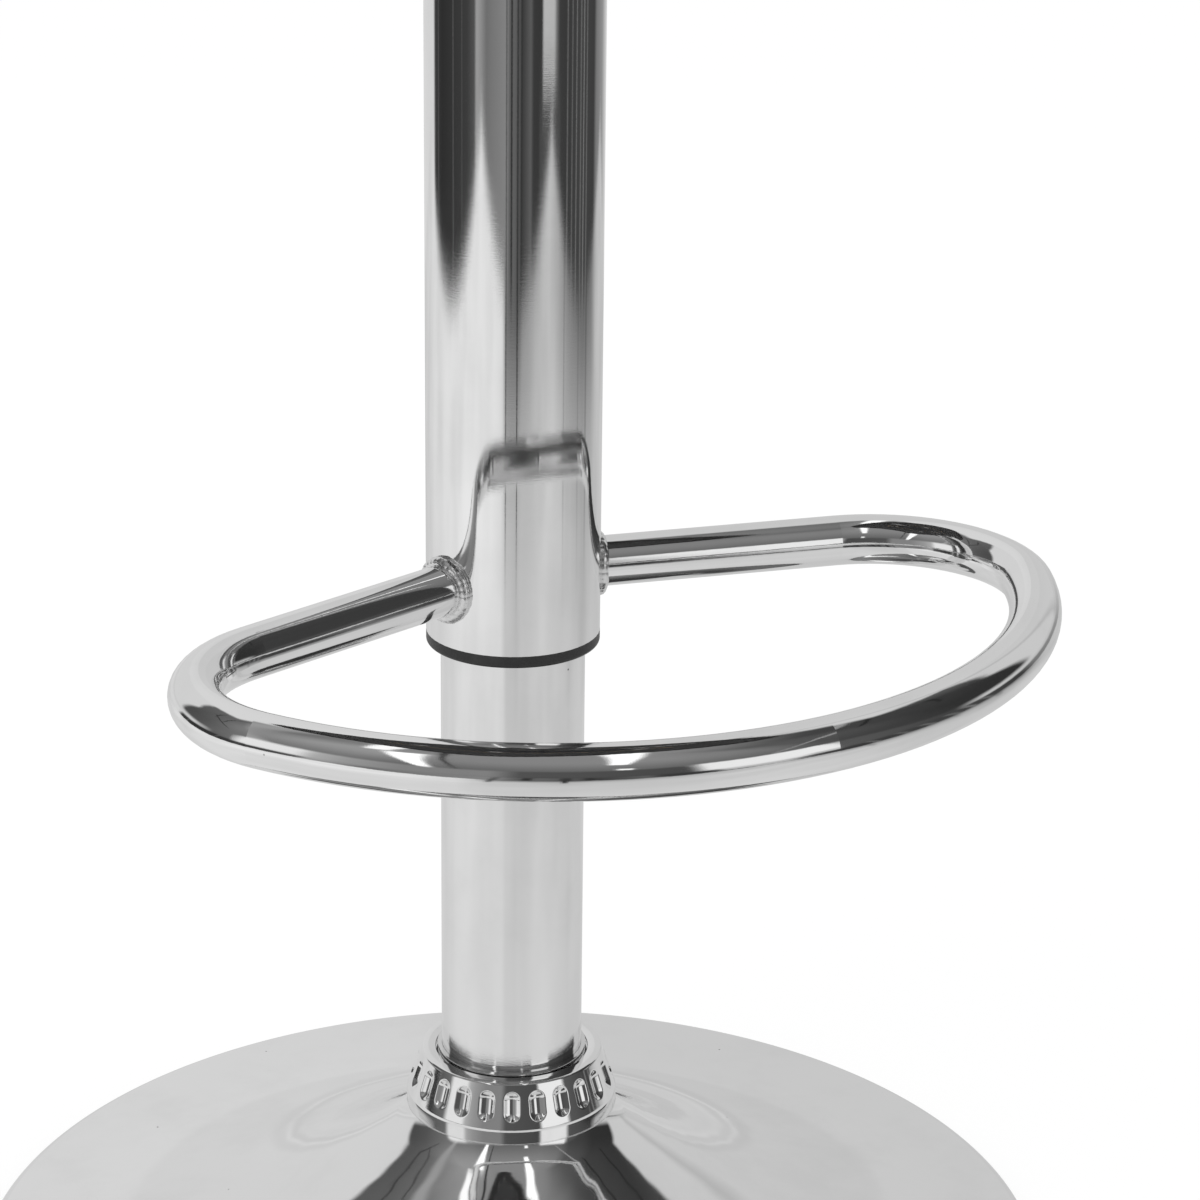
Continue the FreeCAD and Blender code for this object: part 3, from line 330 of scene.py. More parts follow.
@dataclass(frozen=True)
class PictureCamera:
    """The photograph's camera, solved from the column, the sleeve, the footrest and the base."""

    turn: float = math.radians(30.46)
    distance: float = 1.23715
    height: float = 0.69184
    pan: float = math.radians(1.386)
    pitch: float = math.radians(19.443)
    roll: float = math.radians(0.666)
    focal_pixels: float = 3808.3
    frame_pixels: float = 1200.0
    sensor: float = 36.0
    nearest: float = 0.05
    farthest: float = 60.0

    def build(self) -> Piece:
        """Makes the camera.

        Returns:
            The camera, which is also the scene's.
        """
        heading = self.turn + self.pan
        forward = Vector((
            math.sin(heading) * math.cos(self.pitch),
            math.cos(heading) * math.cos(self.pitch),
            -math.sin(self.pitch),
        ))
        level = Vector((math.cos(heading), -math.sin(heading), 0.0))
        upward = level.cross(forward)
        right = math.cos(self.roll) * level + math.sin(self.roll) * upward
        top = -math.sin(self.roll) * level + math.cos(self.roll) * upward
        data = bpy.data.cameras.new("picture_camera")
        data.sensor_width = self.sensor
        data.lens = self.focal_pixels / self.frame_pixels * self.sensor
        data.clip_start = self.nearest
        data.clip_end = self.farthest
        camera = bpy.data.objects.new("picture_camera", data)
        bpy.context.scene.collection.objects.link(camera)
        away = Toward(self.turn).toward()
        eye = (away[0] * self.distance, away[1] * self.distance, self.height)
        rows = [(right[k], top[k], -forward[k], eye[k]) for k in range(3)]
        camera.matrix_world = Matrix((*rows, (0.0, 0.0, 0.0, 1.0)))
        bpy.context.scene.camera = camera
        return camera


@dataclass(frozen=True)
class Strip:
    """A straight strip on the studio's ceiling.

    A place there is how far it lies to the right and toward the camera for each metre above the stool. The
    strip's middle line is right = start + slope * toward. Its sides fade from a little past its half width
    inward by the soft share, and its ends by the fade.
    """

    start: float
    slope: float
    half_width: float
    nearest: float
    farthest: float
    grey: float
    soft: float = 0.45
    fade: float = 0.12
    spread: float = 1.2

    def mask(self, graph: Graph, across: object, along: object) -> Socket:
        """Where the strip is.

        Args:
            graph: The graph to add it to.
            across: How far a place lies to the right for each metre up.
            along: How far it lies toward the camera for each metre up.

        Returns:
            1 on the strip and 0 off it.
        """
        middle = graph.math("MULTIPLY_ADD", along, self.slope, self.start)
        outer, inner = self.half_width * self.spread, self.half_width * (1.0 - self.soft)
        return graph.product(
            graph.range(graph.off(across, middle), outer, inner),
            graph.range(along, self.nearest + self.fade, self.nearest - self.fade),
            graph.range(along, self.farthest - self.fade, self.farthest + self.fade),
        )


@dataclass(frozen=True)
class Surroundings:
    """What stands round the stool, as grey levels by bearing in degrees from the camera's direction.

    Low is what shines in upright tubes from beyond the paper sheet, lines are thin stands and cables in it,
    high is what the base and the round parts see level with them, and room is what is above that. Spans of
    angles are where one fades into the next. The box is a lit softbox that stands to the right. The backdrop
    rises behind the stool and bends over it, in a narrower scoop at its top.
    """

    toward: Toward
    low: Stops = (
        (-180, 0.72), (-124, 0.72), (-120, 0.05), (-104, 0.03), (-62, 0.05), (-52, 0.09), (-49, 0.36),
        (-44, 0.30), (-36, 0.17), (-28, 0.20), (-10, 0.25), (-6, 0.11), (-1, 0.13), (6, 0.09), (10, 0.05),
        (16, 0.09), (20, 0.12), (23, 0.045), (34, 0.04), (36, 0.52), (50, 0.50), (53, 0.20), (57, 0.05),
        (66, 0.045), (95, 0.06), (118, 0.05), (125, 0.20), (142, 0.30), (155, 0.55), (170, 0.72),
    )
    lines: tuple[Streak, ...] = (
        Streak(-112, 0.8, 2.2), Streak(-84, 0.7, 2.6), Streak(-70, 0.6, 1.8), Streak(-10.2, 0.8, 0.45),
        Streak(-3.8, 1.0, 0.30), Streak(3.8, 1.1, 0.45), Streak(8.4, 1.0, 0.60), Streak(69.5, 0.8, 3.0),
        Streak(77, 0.8, 2.6), Streak(84, 0.8, 3.0), Streak(91.5, 1.0, 2.4), Streak(97, 0.9, 3.2),
        Streak(103, 1.0, 2.4),
    )
    high: Stops = (
        (-180, 0.66), (-170, 0.69), (-110, 0.70), (-104, 0.55), (-98, 0.40), (-91, 0.12), (-77, 0.16),
        (-72, 0.85), (-54, 0.85), (-50, 0.45), (-43, 0.34), (-30, 0.24), (-12, 0.24), (-6, 0.09), (30, 0.07),
        (34, 0.92), (54, 0.88), (58, 0.55), (62, 0.70), (66, 0.10), (96, 0.06), (106, 0.62), (146, 0.63),
        (149, 0.50), (153, 0.62), (174, 0.60),
    )
    low_to_high: Span = radians(-5.0, 1.0)
    seam: float = 0.93
    seam_foot: Span = radians(-1.5, -0.3)
    seam_head: Span = radians(1.5, 3.5)
    room: Stops = (
        (-180, 0.20), (-140, 0.15), (-119, 0.14), (-104, 0.17), (-90, 0.24), (-71, 0.33), (-46, 0.32),
        (-30, 0.25), (0, 0.25), (35, 0.26), (56, 0.22), (68, 0.11), (85, 0.09), (98, 0.06),
        (123, 0.055), (140, 0.12),
    )
    room_foot: float = 0.55
    room_rise: Span = radians(18.0, 60.0)
    to_room_ahead: Span = radians(19.0, 27.0)
    to_room_aside: Span = radians(1.0, 9.0)
    aside: Span = radians(65.0, 95.0)
    zenith: float = 0.25
    to_zenith: Span = radians(58.0, 78.0)
    lowest_height: float = 0.10
    backdrop_top: float = -1.0
    backdrop_edge: float = math.radians(126.0)
    backdrop_soft: float = math.radians(3.0)
    top_soft: float = 0.08
    scoop_top: float = -0.45
    scoop_half: float = 0.65
    scoop_soft: float = 0.05
    scoop_share: float = 1.05
    box_bearing: float = math.radians(47.5)
    box_half: Span = radians(13.5, 15.5)
    box_foot: Span = radians(2.0, 6.0)
    box_top: float = math.radians(25.0)
    box_soft: float = 0.04
    box_light: float = 0.90
    strips: tuple[Strip, ...] = (
        Strip(-0.27, -0.37, 0.075, 2.6, 0.26, 1.25, fade=0.04),
        Strip(-0.33, -0.50, 0.045, 0.20, -0.60, 1.10, fade=0.04),
        Strip(0.15, 0.165, 0.050, 0.95, -0.60, 1.25, fade=0.06),
        Strip(0.05, 0.28, 0.070, 2.15, 1.70, 1.10, fade=0.04),
        Strip(-0.88, -1.20, 0.170, 1.40, -0.60, 0.34, soft=0.8, fade=0.35),
        Strip(0.79, 0.58, 0.018, 1.20, -0.80, 0.34),
        Strip(-1.73, -1.20, 0.030, 0.10, -0.53, 0.012),
        Strip(-3.71, -5.00, 0.070, -0.51, -0.58, 0.012, fade=0.03),
        Strip(-2.76, -6.00, 0.065, -0.22, -0.34, 0.014, fade=0.03),
        Strip(-0.188, -0.267, 0.012, 2.40, -0.10, 0.020),
        Strip(2.80, 3.20, 0.055, -0.46, -0.62, 0.014, fade=0.03),
        Strip(0.96, 0.79, 0.014, -0.05, -0.45, 0.012, fade=0.05),
    )

    def group(self) -> bpy.types.NodeTree:
        """Makes the node group.

        Returns:
            A group from a direction to the light that comes from there, and its bearing.
        """
        outputs = ("Light", "Bearing")
        graph, given, wanted = shader_group("studio_surroundings", {"Direction": "Vector"}, outputs)
        direction = graph.vector("NORMALIZE", given.outputs[0])
        near = graph.share(direction, self.toward.toward())
        side = graph.share(direction, self.toward.right())
        height = graph.share(direction, (0.0, 0.0, 1.0))
        angle = graph.math("ARCTAN2", side, near)
        bearing = graph.math("MULTIPLY_ADD", angle, 1.0 / (2.0 * math.pi), 0.5)
        elevation = graph.math("ARCSINE", height)
        low = graph.lined(graph.ramp(bearing, self.low), bearing, self.lines)
        high = graph.ramp(bearing, self.high)
        in_seam = graph.product(
            graph.range(elevation, *self.seam_foot), graph.range(elevation, *self.seam_head[::-1]),
        )
        seam = graph.mix(in_seam, 1.0, self.seam)
        around = graph.mix(graph.range(elevation, *self.low_to_high), low, graph.product(high, seam))
        lifted = graph.math("MAXIMUM", height, self.lowest_height)
        across = graph.math("DIVIDE", side, lifted)
        along = graph.math("DIVIDE", near, lifted)
        above = self.overhead(graph, graph.ramp(bearing, self.room), elevation, across, along)
        above = self.backdrop(graph, above, high, angle, across, along)
        aside = graph.range(graph.off(angle), *self.aside)
        edges = [graph.mix(aside, *pair) for pair in zip(self.to_room_ahead, self.to_room_aside)]
        light = graph.mix(graph.range(elevation, *edges), around, above)
        in_box = graph.product(
            graph.range(graph.off(angle, self.box_bearing), *self.box_half[::-1]),
            graph.range(elevation, self.box_top + self.box_soft, self.box_top - self.box_soft),
            graph.range(elevation, *self.box_foot),
        )
        graph.feed(wanted.inputs["Light"], graph.mix(in_box, light, self.box_light))
        graph.feed(wanted.inputs["Bearing"], bearing)
        return graph.tree

    def overhead(self, graph: Graph, room: object, elevation: object, across: object,
                 along: object) -> Socket:
        """The room over the stool, with the strips on its ceiling.

        Args:
            graph: The group's graph.
            room: The room's light by bearing.
            elevation: The elevation as an angle.
            across: How far a place lies to the right for each metre up.
            along: How far it lies toward the camera for each metre up.

        Returns:
            The light from above.
        """
        dimmer = graph.range(elevation, *self.room_rise, self.room_foot, 1.0)
        light = graph.mix(graph.range(elevation, *self.to_zenith), graph.product(room, dimmer), self.zenith)
        for strip in self.strips:
            light = graph.mix(strip.mask(graph, across, along), light, strip.grey)
        return light

    def backdrop(self, graph: Graph, above: object, high: object, angle: object, across: object,
                 along: object) -> Socket:
        """Adds the backdrop that rises behind the stool and bends over it.

        Args:
            graph: The group's graph.
            above: The room's light.
            high: The backdrop's light by bearing.
            angle: The bearing as an angle.
            across: How far a place lies to the right for each metre up.
            along: How far it lies toward the camera for each metre up.

        Returns:
            The light from above with the backdrop in it.
        """
        edge, soft = self.backdrop_edge, self.backdrop_soft
        behind = graph.product(
            graph.range(graph.off(angle), edge - soft, edge + soft),
            graph.range(along, self.backdrop_top + self.top_soft, self.backdrop_top - self.top_soft),
        )
        half, soft = self.scoop_half, self.scoop_soft
        scoop = graph.product(
            graph.range(along, self.scoop_top + self.top_soft, self.scoop_top - self.top_soft),
            graph.range(graph.off(across), half + soft, half - soft),
        )
        return graph.mix(scoop, graph.mix(behind, above, high), graph.product(high, self.scoop_share))


@dataclass(frozen=True)
class Lamp:
    """A large square lamp that looks at the stool, at a bearing in degrees from the camera's direction."""

    name: str
    bearing: float
    away: float
    height: float
    side: float
    watts: float
    aim: Triple = (0.0, 0.0, 0.35)

    def build(self, toward: Toward) -> None:
        """Hangs the lamp, out of sight of the chrome.

        Args:
            toward: The camera's direction.
        """
        data = bpy.data.lights.new(self.name, "AREA")
        data.size = self.side
        data.energy = self.watts
        lamp = bpy.data.objects.new(self.name, data)
        bpy.context.scene.collection.objects.link(lamp)
        turn = math.radians(self.bearing)
        level = math.cos(turn) * Vector(toward.toward()) + math.sin(turn) * Vector(toward.right())
        lamp.location = self.away * level + Vector((0.0, 0.0, self.height))
        lamp.rotation_euler = (Vector(self.aim) - lamp.location).to_track_quat("-Z", "Y").to_euler()
        lamp.visible_glossy = False


@dataclass(frozen=True)
class Studio:
    """The stage: a pale floor with a white paper sheet on it, a soft world and two large lamps.

    The sheet's tones, dims and lines go by bearing, and each reach is where they set in by the distance from
    the stool. Near the stool its light is drawn toward a mid grey, a painted shade of the stool on the
    sheet.
    The softbox leaves the floor beyond the sheet unlit near its foot.
    """

    toward: Toward
    surroundings: Surroundings
    floor_rings: tuple[float, ...] = (0.05, 0.5, 2.0, 6.0, 16.0)
    floor_steps: int = 96
    sheet_half: float = 1.38
    sheet_edge: Span = (-0.06, 0.10)
    sheet_turn: float = math.radians(2.5)
    ragged: float = 0.5
    eye_level: float = 0.36
    soft_world: float = 0.80
    paper: float = 0.98
    shade_share: float = 0.22
    glow: float = 0.82
    sheet_tones: Stops = (
        (-180, 0.60), (-150, 0.66), (-122, 0.76), (-60, 0.86), (-28, 0.86), (-16, 0.80), (-10, 0.58),
        (4, 0.52), (10, 0.60), (50, 0.66), (66, 0.60), (100, 0.46), (125, 0.56), (150, 0.58), (170, 0.58),
    )
    # Near the stool the sheet's light is drawn toward a mid grey: painted shade of the stool on the sheet.
    close_shade_reach: Span = (0.35, 1.0)
    close_shade_tone: Span = (0.35, 0.44)
    sheet_dims: Stops = (
        (-180, 0.0), (-14, 0.05), (-10, 0.70), (5, 0.78), (10, 0.55), (28, 0.28), (45, 0.10), (60, 0.35),
        (72, 0.55), (90, 0.66), (116, 0.60), (128, 0.10), (136, 0.0),
    )
    dims_reach: Span = (0.80, 1.42)
    sheet_lines: tuple[Streak, ...] = (
        Streak(-10.4, 0.6, 0.25), Streak(3.8, 0.6, 0.10), Streak(66.5, 0.8, 0.75), Streak(90, 0.9, 0.80),
        Streak(105, 1.4, 0.72),
    )
    lines_reach: Span = (0.72, 0.98)
    cloudy: Span = (0.93, 1.05)
    unlit_reach: Span = (2.03, 2.23)
    unlit_bearing: float = 45.0
    unlit_half: Span = (12.0, 16.0)
    unlit_light: float = 0.07
    lamps: tuple[Lamp, ...] = (
        Lamp("key_lamp", -48.0, 1.5, 2.1, 1.6, 9.0),
        Lamp("fill_lamp", 62.0, 1.7, 1.4, 1.4, 4.0),
    )

    def sheet_axis(self, quarter: float) -> Triple:
        """One of the paper sheet's two level axes.

        Args:
            quarter: 0 for the axis toward the camera, a right angle for the other.

        Returns:
            The axis.
        """
        return Toward(self.toward.turn - self.sheet_turn - quarter).toward()

    def sheet(self, graph: Graph, place: Socket, bearing: Socket, radius: Socket) -> Socket:
        """The paper sheet's light, as the chrome sees it.

        Args:
            graph: The floor's graph.
            place: The place on the floor.
            bearing: Its bearing as a place on a ramp.
            radius: Its distance from the stool.

        Returns:
            The sheet's light.
        """
        tone = graph.ramp(bearing, self.sheet_tones)
        dims = graph.product(graph.ramp(bearing, self.sheet_dims), graph.range(radius, *self.dims_reach))
        dimmed = graph.product(tone, graph.math("SUBTRACT", 1.0, dims))
        far = graph.range(radius, *self.lines_reach)
        lined = graph.mix(far, dimmed, graph.lined(dimmed, bearing, self.sheet_lines))
        # Near the stool the sheet's light is drawn toward a mid grey: painted shade of the stool on the
        # sheet.
        nearest = graph.math("MULTIPLY_ADD", tone, *self.close_shade_tone)
        sheet = graph.mix(graph.range(radius, *self.close_shade_reach), nearest, lined)
        clouds = graph.noise(place, scale=2.6, detail=2.0)
        return graph.product(sheet, graph.range(clouds, *NOISE_SPAN, *self.cloudy))

    def mirrored(self, graph: Graph, group: bpy.types.NodeTree) -> Socket:
        """The lit sheet with the darker studio beyond it, as the chrome sees them.

        Args:
            graph: The floor's graph.
            group: The surroundings' node group.

        Returns:
            The light of each place on the floor.
        """
        place = graph.place()
        lifted = graph.vector("SUBTRACT", place, (0.0, 0.0, self.eye_level))
        studio = graph.add("ShaderNodeGroup", {0: lifted}, node_tree=group)
        bearing = studio.outputs["Bearing"]
        flat = graph.vector("MULTIPLY", place, (1.0, 1.0, 0.0))
        radius = graph.vector("LENGTH", flat, output="Value")
        near = graph.off(graph.share(flat, self.sheet_axis(0.0)))
        side = graph.off(graph.share(flat, self.sheet_axis(math.pi / 2)))
        tear = graph.noise(place, scale=60.0, detail=4.0, rough=0.8)
        ragged = graph.math("MULTIPLY_ADD", tear, self.ragged, -self.ragged / 2.0)
        reach = graph.math("ADD", graph.math("MAXIMUM", near, side), ragged)
        past = graph.range(reach, *(self.sheet_half + edge for edge in self.sheet_edge))
        box_side = graph.off(bearing, bearing_place(self.unlit_bearing))
        unlit = graph.product(
            graph.range(box_side, *(half / 360.0 for half in self.unlit_half[::-1])),
            graph.range(radius, *self.unlit_reach[::-1]),
        )
        beyond = graph.mix(unlit, studio.outputs["Light"], self.unlit_light)
        return graph.mix(past, self.sheet(graph, place, bearing, radius), beyond)

    def floor_material(self, group: bpy.types.NodeTree) -> bpy.types.Material:
        """Makes the floor's material.

        Args:
            group: The surroundings' node group.

        Returns:
            White paper to the camera, and the lit sheet with the darker studio beyond it to the chrome.
        """
        material = bpy.data.materials.new("studio_floor")
        material.use_nodes = True
        graph = Graph(material.node_tree)
        graph.tree.nodes.clear()
        emission = graph.add("ShaderNodeEmission", {"Color": self.mirrored(graph, group)})
        paper = graph.add("ShaderNodeBsdfDiffuse", {"Color": (self.paper,) * 3 + (1.0,)})
        shaded = graph.add("ShaderNodeBsdfDiffuse", {"Color": (self.shade_share,) * 3 + (1.0,)})
        glow = graph.add("ShaderNodeEmission", {"Strength": self.glow})
        white = graph.add("ShaderNodeAddShader", {0: shaded.outputs[0], 1: glow.outputs[0]})
        to_camera, to_mirror = graph.rays()
        plain = graph.add("ShaderNodeMixShader", {0: to_camera, 1: paper.outputs[0], 2: white.outputs[0]})
        last = graph.add("ShaderNodeMixShader", {0: to_mirror, 1: plain.outputs[0], 2: emission.outputs[0]})
        graph.add("ShaderNodeOutputMaterial", {"Surface": last.outputs[0]})
        return material

    def floor(self, group: bpy.types.NodeTree) -> None:
        """Makes the floor: a flat ring grid, level with the stool's foot.

        Args:
            group: The surroundings' node group.
        """
        way = full_turn(self.floor_steps)
        flat = np.array(self.floor_rings)[:, None, None] * np.stack([np.cos(way), np.sin(way)], axis=-1)
        floor = surface("studio_floor", with_height(flat, np.zeros(flat.shape[:2])), close_first=True)
        floor.data.materials.append(self.floor_material(group))

    def world(self, group: bpy.types.NodeTree) -> None:
        """Makes the world: white to the camera, the studio to the chrome, and one soft light for the rest.

        Args:
            group: The surroundings' node group.
        """
        world = bpy.data.worlds.new("studio_world")
        world.use_nodes = True
        graph = Graph(world.node_tree)
        graph.tree.nodes.clear()
        direction = graph.add("ShaderNodeTexCoord").outputs["Generated"]
        studio = graph.add("ShaderNodeGroup", {0: direction}, node_tree=group)
        to_camera, to_mirror = graph.rays()
        seen = graph.mix(to_mirror, self.soft_world, studio.outputs["Light"])
        strength = graph.mix(to_camera, seen, 1.0)
        feeds = {"Color": (1.0, 1.0, 1.0, 1.0), "Strength": strength}
        background = graph.add("ShaderNodeBackground", feeds)
        graph.add("ShaderNodeOutputWorld", {"Surface": background.outputs[0]})
        bpy.context.scene.world = world

    def build(self) -> None:
        """Makes the floor, the world and the lamps, and sets the plain view transform."""
        group = self.surroundings.group()
        self.floor(group)
        self.world(group)
        for lamp in self.lamps:
            lamp.build(self.toward)
        bpy.context.scene.view_settings.view_transform = "Standard"


def full_turn(steps: int) -> np.ndarray:
    """Evenly spaced angles once round, without the last one."""
    return np.linspace(0.0, 2.0 * math.pi, steps, endpoint=False)


def unit(vectors: np.ndarray) -> np.ndarray:
    """Scales vectors to a length of 1."""
    return vectors / np.linalg.norm(vectors, axis=-1, keepdims=True)


def with_height(flat: np.ndarray, height: np.ndarray) -> np.ndarray:
    """Adds a height to each x, y."""
    return np.concatenate([flat, height[..., None]], axis=-1)


def directions(loop: np.ndarray) -> np.ndarray:
    """The direction of a closed loop at each of its points, from the point before to the one after."""
    return np.roll(loop, -1, axis=0) - np.roll(loop, 1, axis=0)


def outward_from(loop: np.ndarray) -> np.ndarray:
    """The outward direction of an anticlockwise loop at each of its points."""
    way = directions(loop)
    return unit(np.stack([way[:, 1], -way[:, 0]], axis=-1))


def bell(distance: np.ndarray, width: float) -> np.ndarray:
    """A bell curve of a distance: e to the power of minus the square of the distance over the width."""
    return np.exp(-((distance / width) ** 2))


def wandering(place: np.ndarray, rate: float, bend: float, bend_rate: float,
              phase: float = 0.0) -> np.ndarray:
    """A sine whose pace wanders: the sine of the place times its rate plus the bend times a slower sine."""
    return np.sin(rate * place + bend * np.sin(bend_rate * place + phase))


def crossed(first: np.ndarray, second: np.ndarray, rates: Triple) -> np.ndarray:
    """A sine of two places: each times its rate, plus a phase."""
    return np.sin(rates[0] * first + rates[1] * second + rates[2])


def loop_area(loop: np.ndarray) -> float:
    """The area inside a closed loop, by the shoelace sum."""
    following = np.roll(loop, -1, axis=0)
    return float(abs(np.sum(loop[:, 0] * following[:, 1] - loop[:, 1] * following[:, 0])) / 2.0)


def arc(centre: Span, radius: float, first: float, last: float, steps: int) -> np.ndarray:
    """Points of an arc: the centre plus the radius times the angle's cosine and sine.

    Args:
        centre: The arc's centre.
        radius: Its radius; a negative one gives the side across the centre.
        first: The angle that it starts at.
        last: The angle that it ends at.
        steps: How many steps it has.

    Returns:
        An array of x, z.
    """
    turns = np.linspace(first, last, steps + 1)
    return np.array(centre) + radius * np.stack([np.cos(turns), np.sin(turns)], axis=-1)


def line(first: Span, last: Span, steps: int) -> np.ndarray:
    """Points along a straight line, without its last one."""
    share = np.linspace(0.0, 1.0, steps + 1)[:-1, None]
    return np.array(first) * (1.0 - share) + np.array(last) * share


def turned(profile: np.ndarray, steps: int) -> np.ndarray:
    """Turns a profile of x, z round the upright axis, to rows along the profile and columns round."""
    way = full_turn(steps)
    flat = profile[:, :1, None] * np.stack([np.cos(way), np.sin(way)], axis=-1)[None]
    return with_height(flat, np.repeat(profile[:, 1:], steps, axis=1))


def quads(index: np.ndarray) -> np.ndarray:
    """Faces of a grid of point numbers: (i, j), (i, j+1), (i+1, j+1) and (i+1, j)."""
    corners = [index[:-1, :-1], index[:-1, 1:], index[1:, 1:], index[1:, :-1]]
    return np.stack(corners, axis=-1).reshape(-1, 4)


def mesh_object(name: str, points: np.ndarray, *faces: np.ndarray) -> Piece:
    """Makes a smooth mesh object at the origin.

    Args:
        name: The object's name.
        points: An array of x, y, z.
        faces: Arrays of point numbers, one row for each face.

    Returns:
        The new object.
    """
    mesh = bpy.data.meshes.new(name)
    mesh.from_pydata(points.tolist(), [], [face for group in faces for face in group.tolist()])
    mesh.polygons.foreach_set("use_smooth", np.ones(len(mesh.polygons), dtype=bool))
    mesh.update()
    made = bpy.data.objects.new(name, mesh)
    bpy.context.scene.collection.objects.link(made)
    return made


def surface(name: str, points: np.ndarray, tube: bool = False, close_first: bool = False) -> Piece:
    """Makes a mesh from a grid of points whose rows are closed loops.

    Args:
        name: The object's name.
        points: An array of rows, columns and x, y, z.
        tube: Whether the last row joins the first.
        close_first: Whether the first row is closed by a fan to its middle.

    Returns:
        The new object.
    """
    rows, columns = points.shape[:2]
    index = np.arange(rows * columns).reshape(rows, columns)
    index = np.concatenate([index, index[:, :1]], axis=1)
    if tube:
        index = np.concatenate([index, index[:1]], axis=0)
    flat = points.reshape(-1, 3)
    faces = [quads(index)]
    if close_first:
        loop = index[0][::-1]
        faces.append(np.stack([loop[:-1], loop[1:], np.full(columns, len(flat))], axis=-1))
        flat = np.concatenate([flat, points[0].mean(axis=0, keepdims=True)])
    return mesh_object(name, flat, *faces)


def fix_normals(piece: Piece) -> None:
    """Turns a closed piece's faces outward."""
    mesh = bmesh.new()
    mesh.from_mesh(piece.data)
    bmesh.ops.recalc_face_normals(mesh, faces=mesh.faces)
    mesh.to_mesh(piece.data)
    mesh.free()


def spindles(name: str, places: np.ndarray, axes: np.ndarray) -> Piece:
    """Makes one mesh of many small six-sided spindles.

    A spindle runs from -1 to 1 along its first axis and narrows to its ends: each of its points is its
    place plus the station and the radius times the cosine and the sine, times its three axes.

    Args:
        name: The object's name.
        places: One place for each spindle.
        axes: One 3 by 3 array of axis rows for each spindle.

    Returns:
        The new object.
    """
    sides = full_turn(6)
    stations = np.array([[-1.0, 0.15], [-0.7, 0.8], [0.0, 1.0], [0.7, 0.8], [1.0, 0.15]])
    length, radius = stations[:, :1], stations[:, 1:]
    shape = np.stack([np.repeat(length, 6, axis=1), radius * np.cos(sides), radius * np.sin(sides)], axis=-1)
    index = np.arange(30).reshape(5, 6)
    ends = np.array([[0, 3, 2, 1], [0, 5, 4, 3], [24, 25, 26, 27], [24, 27, 28, 29]])
    faces = np.concatenate([quads(np.concatenate([index, index[:, :1]], axis=1)), ends])
    points = places[:, None, :] + np.einsum("pk,nkc->npc", shape.reshape(-1, 3), axes)
    shift = (np.arange(len(places)) * index.size)[:, None, None]
    return mesh_object(name, points.reshape(-1, 3), (faces[None] + shift).reshape(-1, 4))


def buffed_grain() -> bpy.types.NodeTree:
    """Makes the group of fine buffing: grain that runs round a part, with soft smudges.

    Returns:
        A group from coordinates to a roughness factor and a height.
    """
    graph, given, wanted = shader_group("buffed_grain", {"Vector": "Vector"}, ("Smudge", "Height"))
    place = given.outputs[0]
    grain = graph.noise(graph.vector("MULTIPLY", place, (1.0, 1.0, 14.0)), scale=260.0, rough=0.6)
    speckle = graph.noise(place, scale=2600.0, detail=2.0)
    smudge = graph.range(graph.noise(place, scale=24.0, detail=4.0, rough=0.6), 0.42, 0.72)
    graph.feed(wanted.inputs["Smudge"], smudge)
    graph.feed(wanted.inputs["Height"], graph.mix(0.4, grain, speckle))
    return graph.tree


def sparse_specks() -> bpy.types.NodeTree:
    """Makes the group of sparse specks of dust or pits.

    Returns:
        A group from coordinates and a number of cells in a metre to a mask.
    """
    inputs = {"Vector": "Vector", "Scale": "Float"}
    graph, given, wanted = shader_group("sparse_specks", inputs, ("Mask",))
    feeds = {"Vector": given.outputs[0], "Scale": given.outputs[1]}
    cells = graph.add("ShaderNodeTexVoronoi", feeds, feature="F1")
    dot = graph.range(cells.outputs["Distance"], 0.03, 0.06, 1.0, 0.0)
    chosen = graph.add("ShaderNodeSeparateColor", {0: cells.outputs["Color"]})
    rare = graph.range(chosen.outputs[0], 0.93, 0.95)
    graph.feed(wanted.inputs[0], graph.product(dot, rare))
    return graph.tree


@dataclass(frozen=True)
class Coat:
    """A material in the making: its graph, its Principled shader, its coordinates and the shared groups."""

    graph: Graph
    shader: Node
    place: Socket
    groups: dict[str, bpy.types.NodeTree]

    def set(self, **values: object) -> None:
        """Feeds the shader's inputs, whose names have underscores for spaces."""
        for name, value in values.items():
            self.graph.feed(self.shader.inputs[name.replace("_", " ")], value)


@dataclass(frozen=True)
class Finish:
    """A finish: its plain colour, how rough it is, and the ranges of both, as factors and as an addition.

    Depth is what a bump's full height stands for, in metres, and strength how much of it shows.
    """

    name: str
    colour: Triple
    roughness: float
    metallic: float = 0.0
    shades: Span = (1.0, 1.0)
    added_rough: float = 0.0
    depth: float = 0.0
    strength: float = 1.0

    def tone(self, factor: float) -> tuple[float, ...]:
        """The finish's colour, lightened or darkened by a factor."""
        return (*(min(part * factor, 1.0) for part in self.colour), 1.0)

    def tones(self) -> tuple[tuple[float, ...], ...]:
        """The finish's first and last colour."""
        return tuple(self.tone(factor) for factor in self.shades)

    def rough_span(self) -> Span:
        """The finish's least and most roughness."""
        return (self.roughness, self.roughness + self.added_rough)

    def bumped(self, graph: Graph, height: Socket) -> Socket:
        """The normal of a height between 0 and 1."""
        feeds = {"Strength": self.strength, "Distance": self.depth, "Height": height}
        return graph.add("ShaderNodeBump", feeds).outputs[0]

    def build(self, groups: dict[str, bpy.types.NodeTree]) -> bpy.types.Material:
        """Makes the material.

        Args:
            groups: The shared shader groups.

        Returns:
            The material.
        """
        material = bpy.data.materials.new(self.name)
        material.use_nodes = True
        graph = Graph(material.node_tree)
        shader = material.node_tree.nodes["Principled BSDF"]
        coat = Coat(graph, shader, graph.place(), groups)
        coat.set(Roughness=self.roughness, Metallic=self.metallic)
        self.paint(coat)
        return material

    def paint(self, coat: Coat) -> None:
        """Lays the finish's own effects on a material in the making."""
        raise NotImplementedError


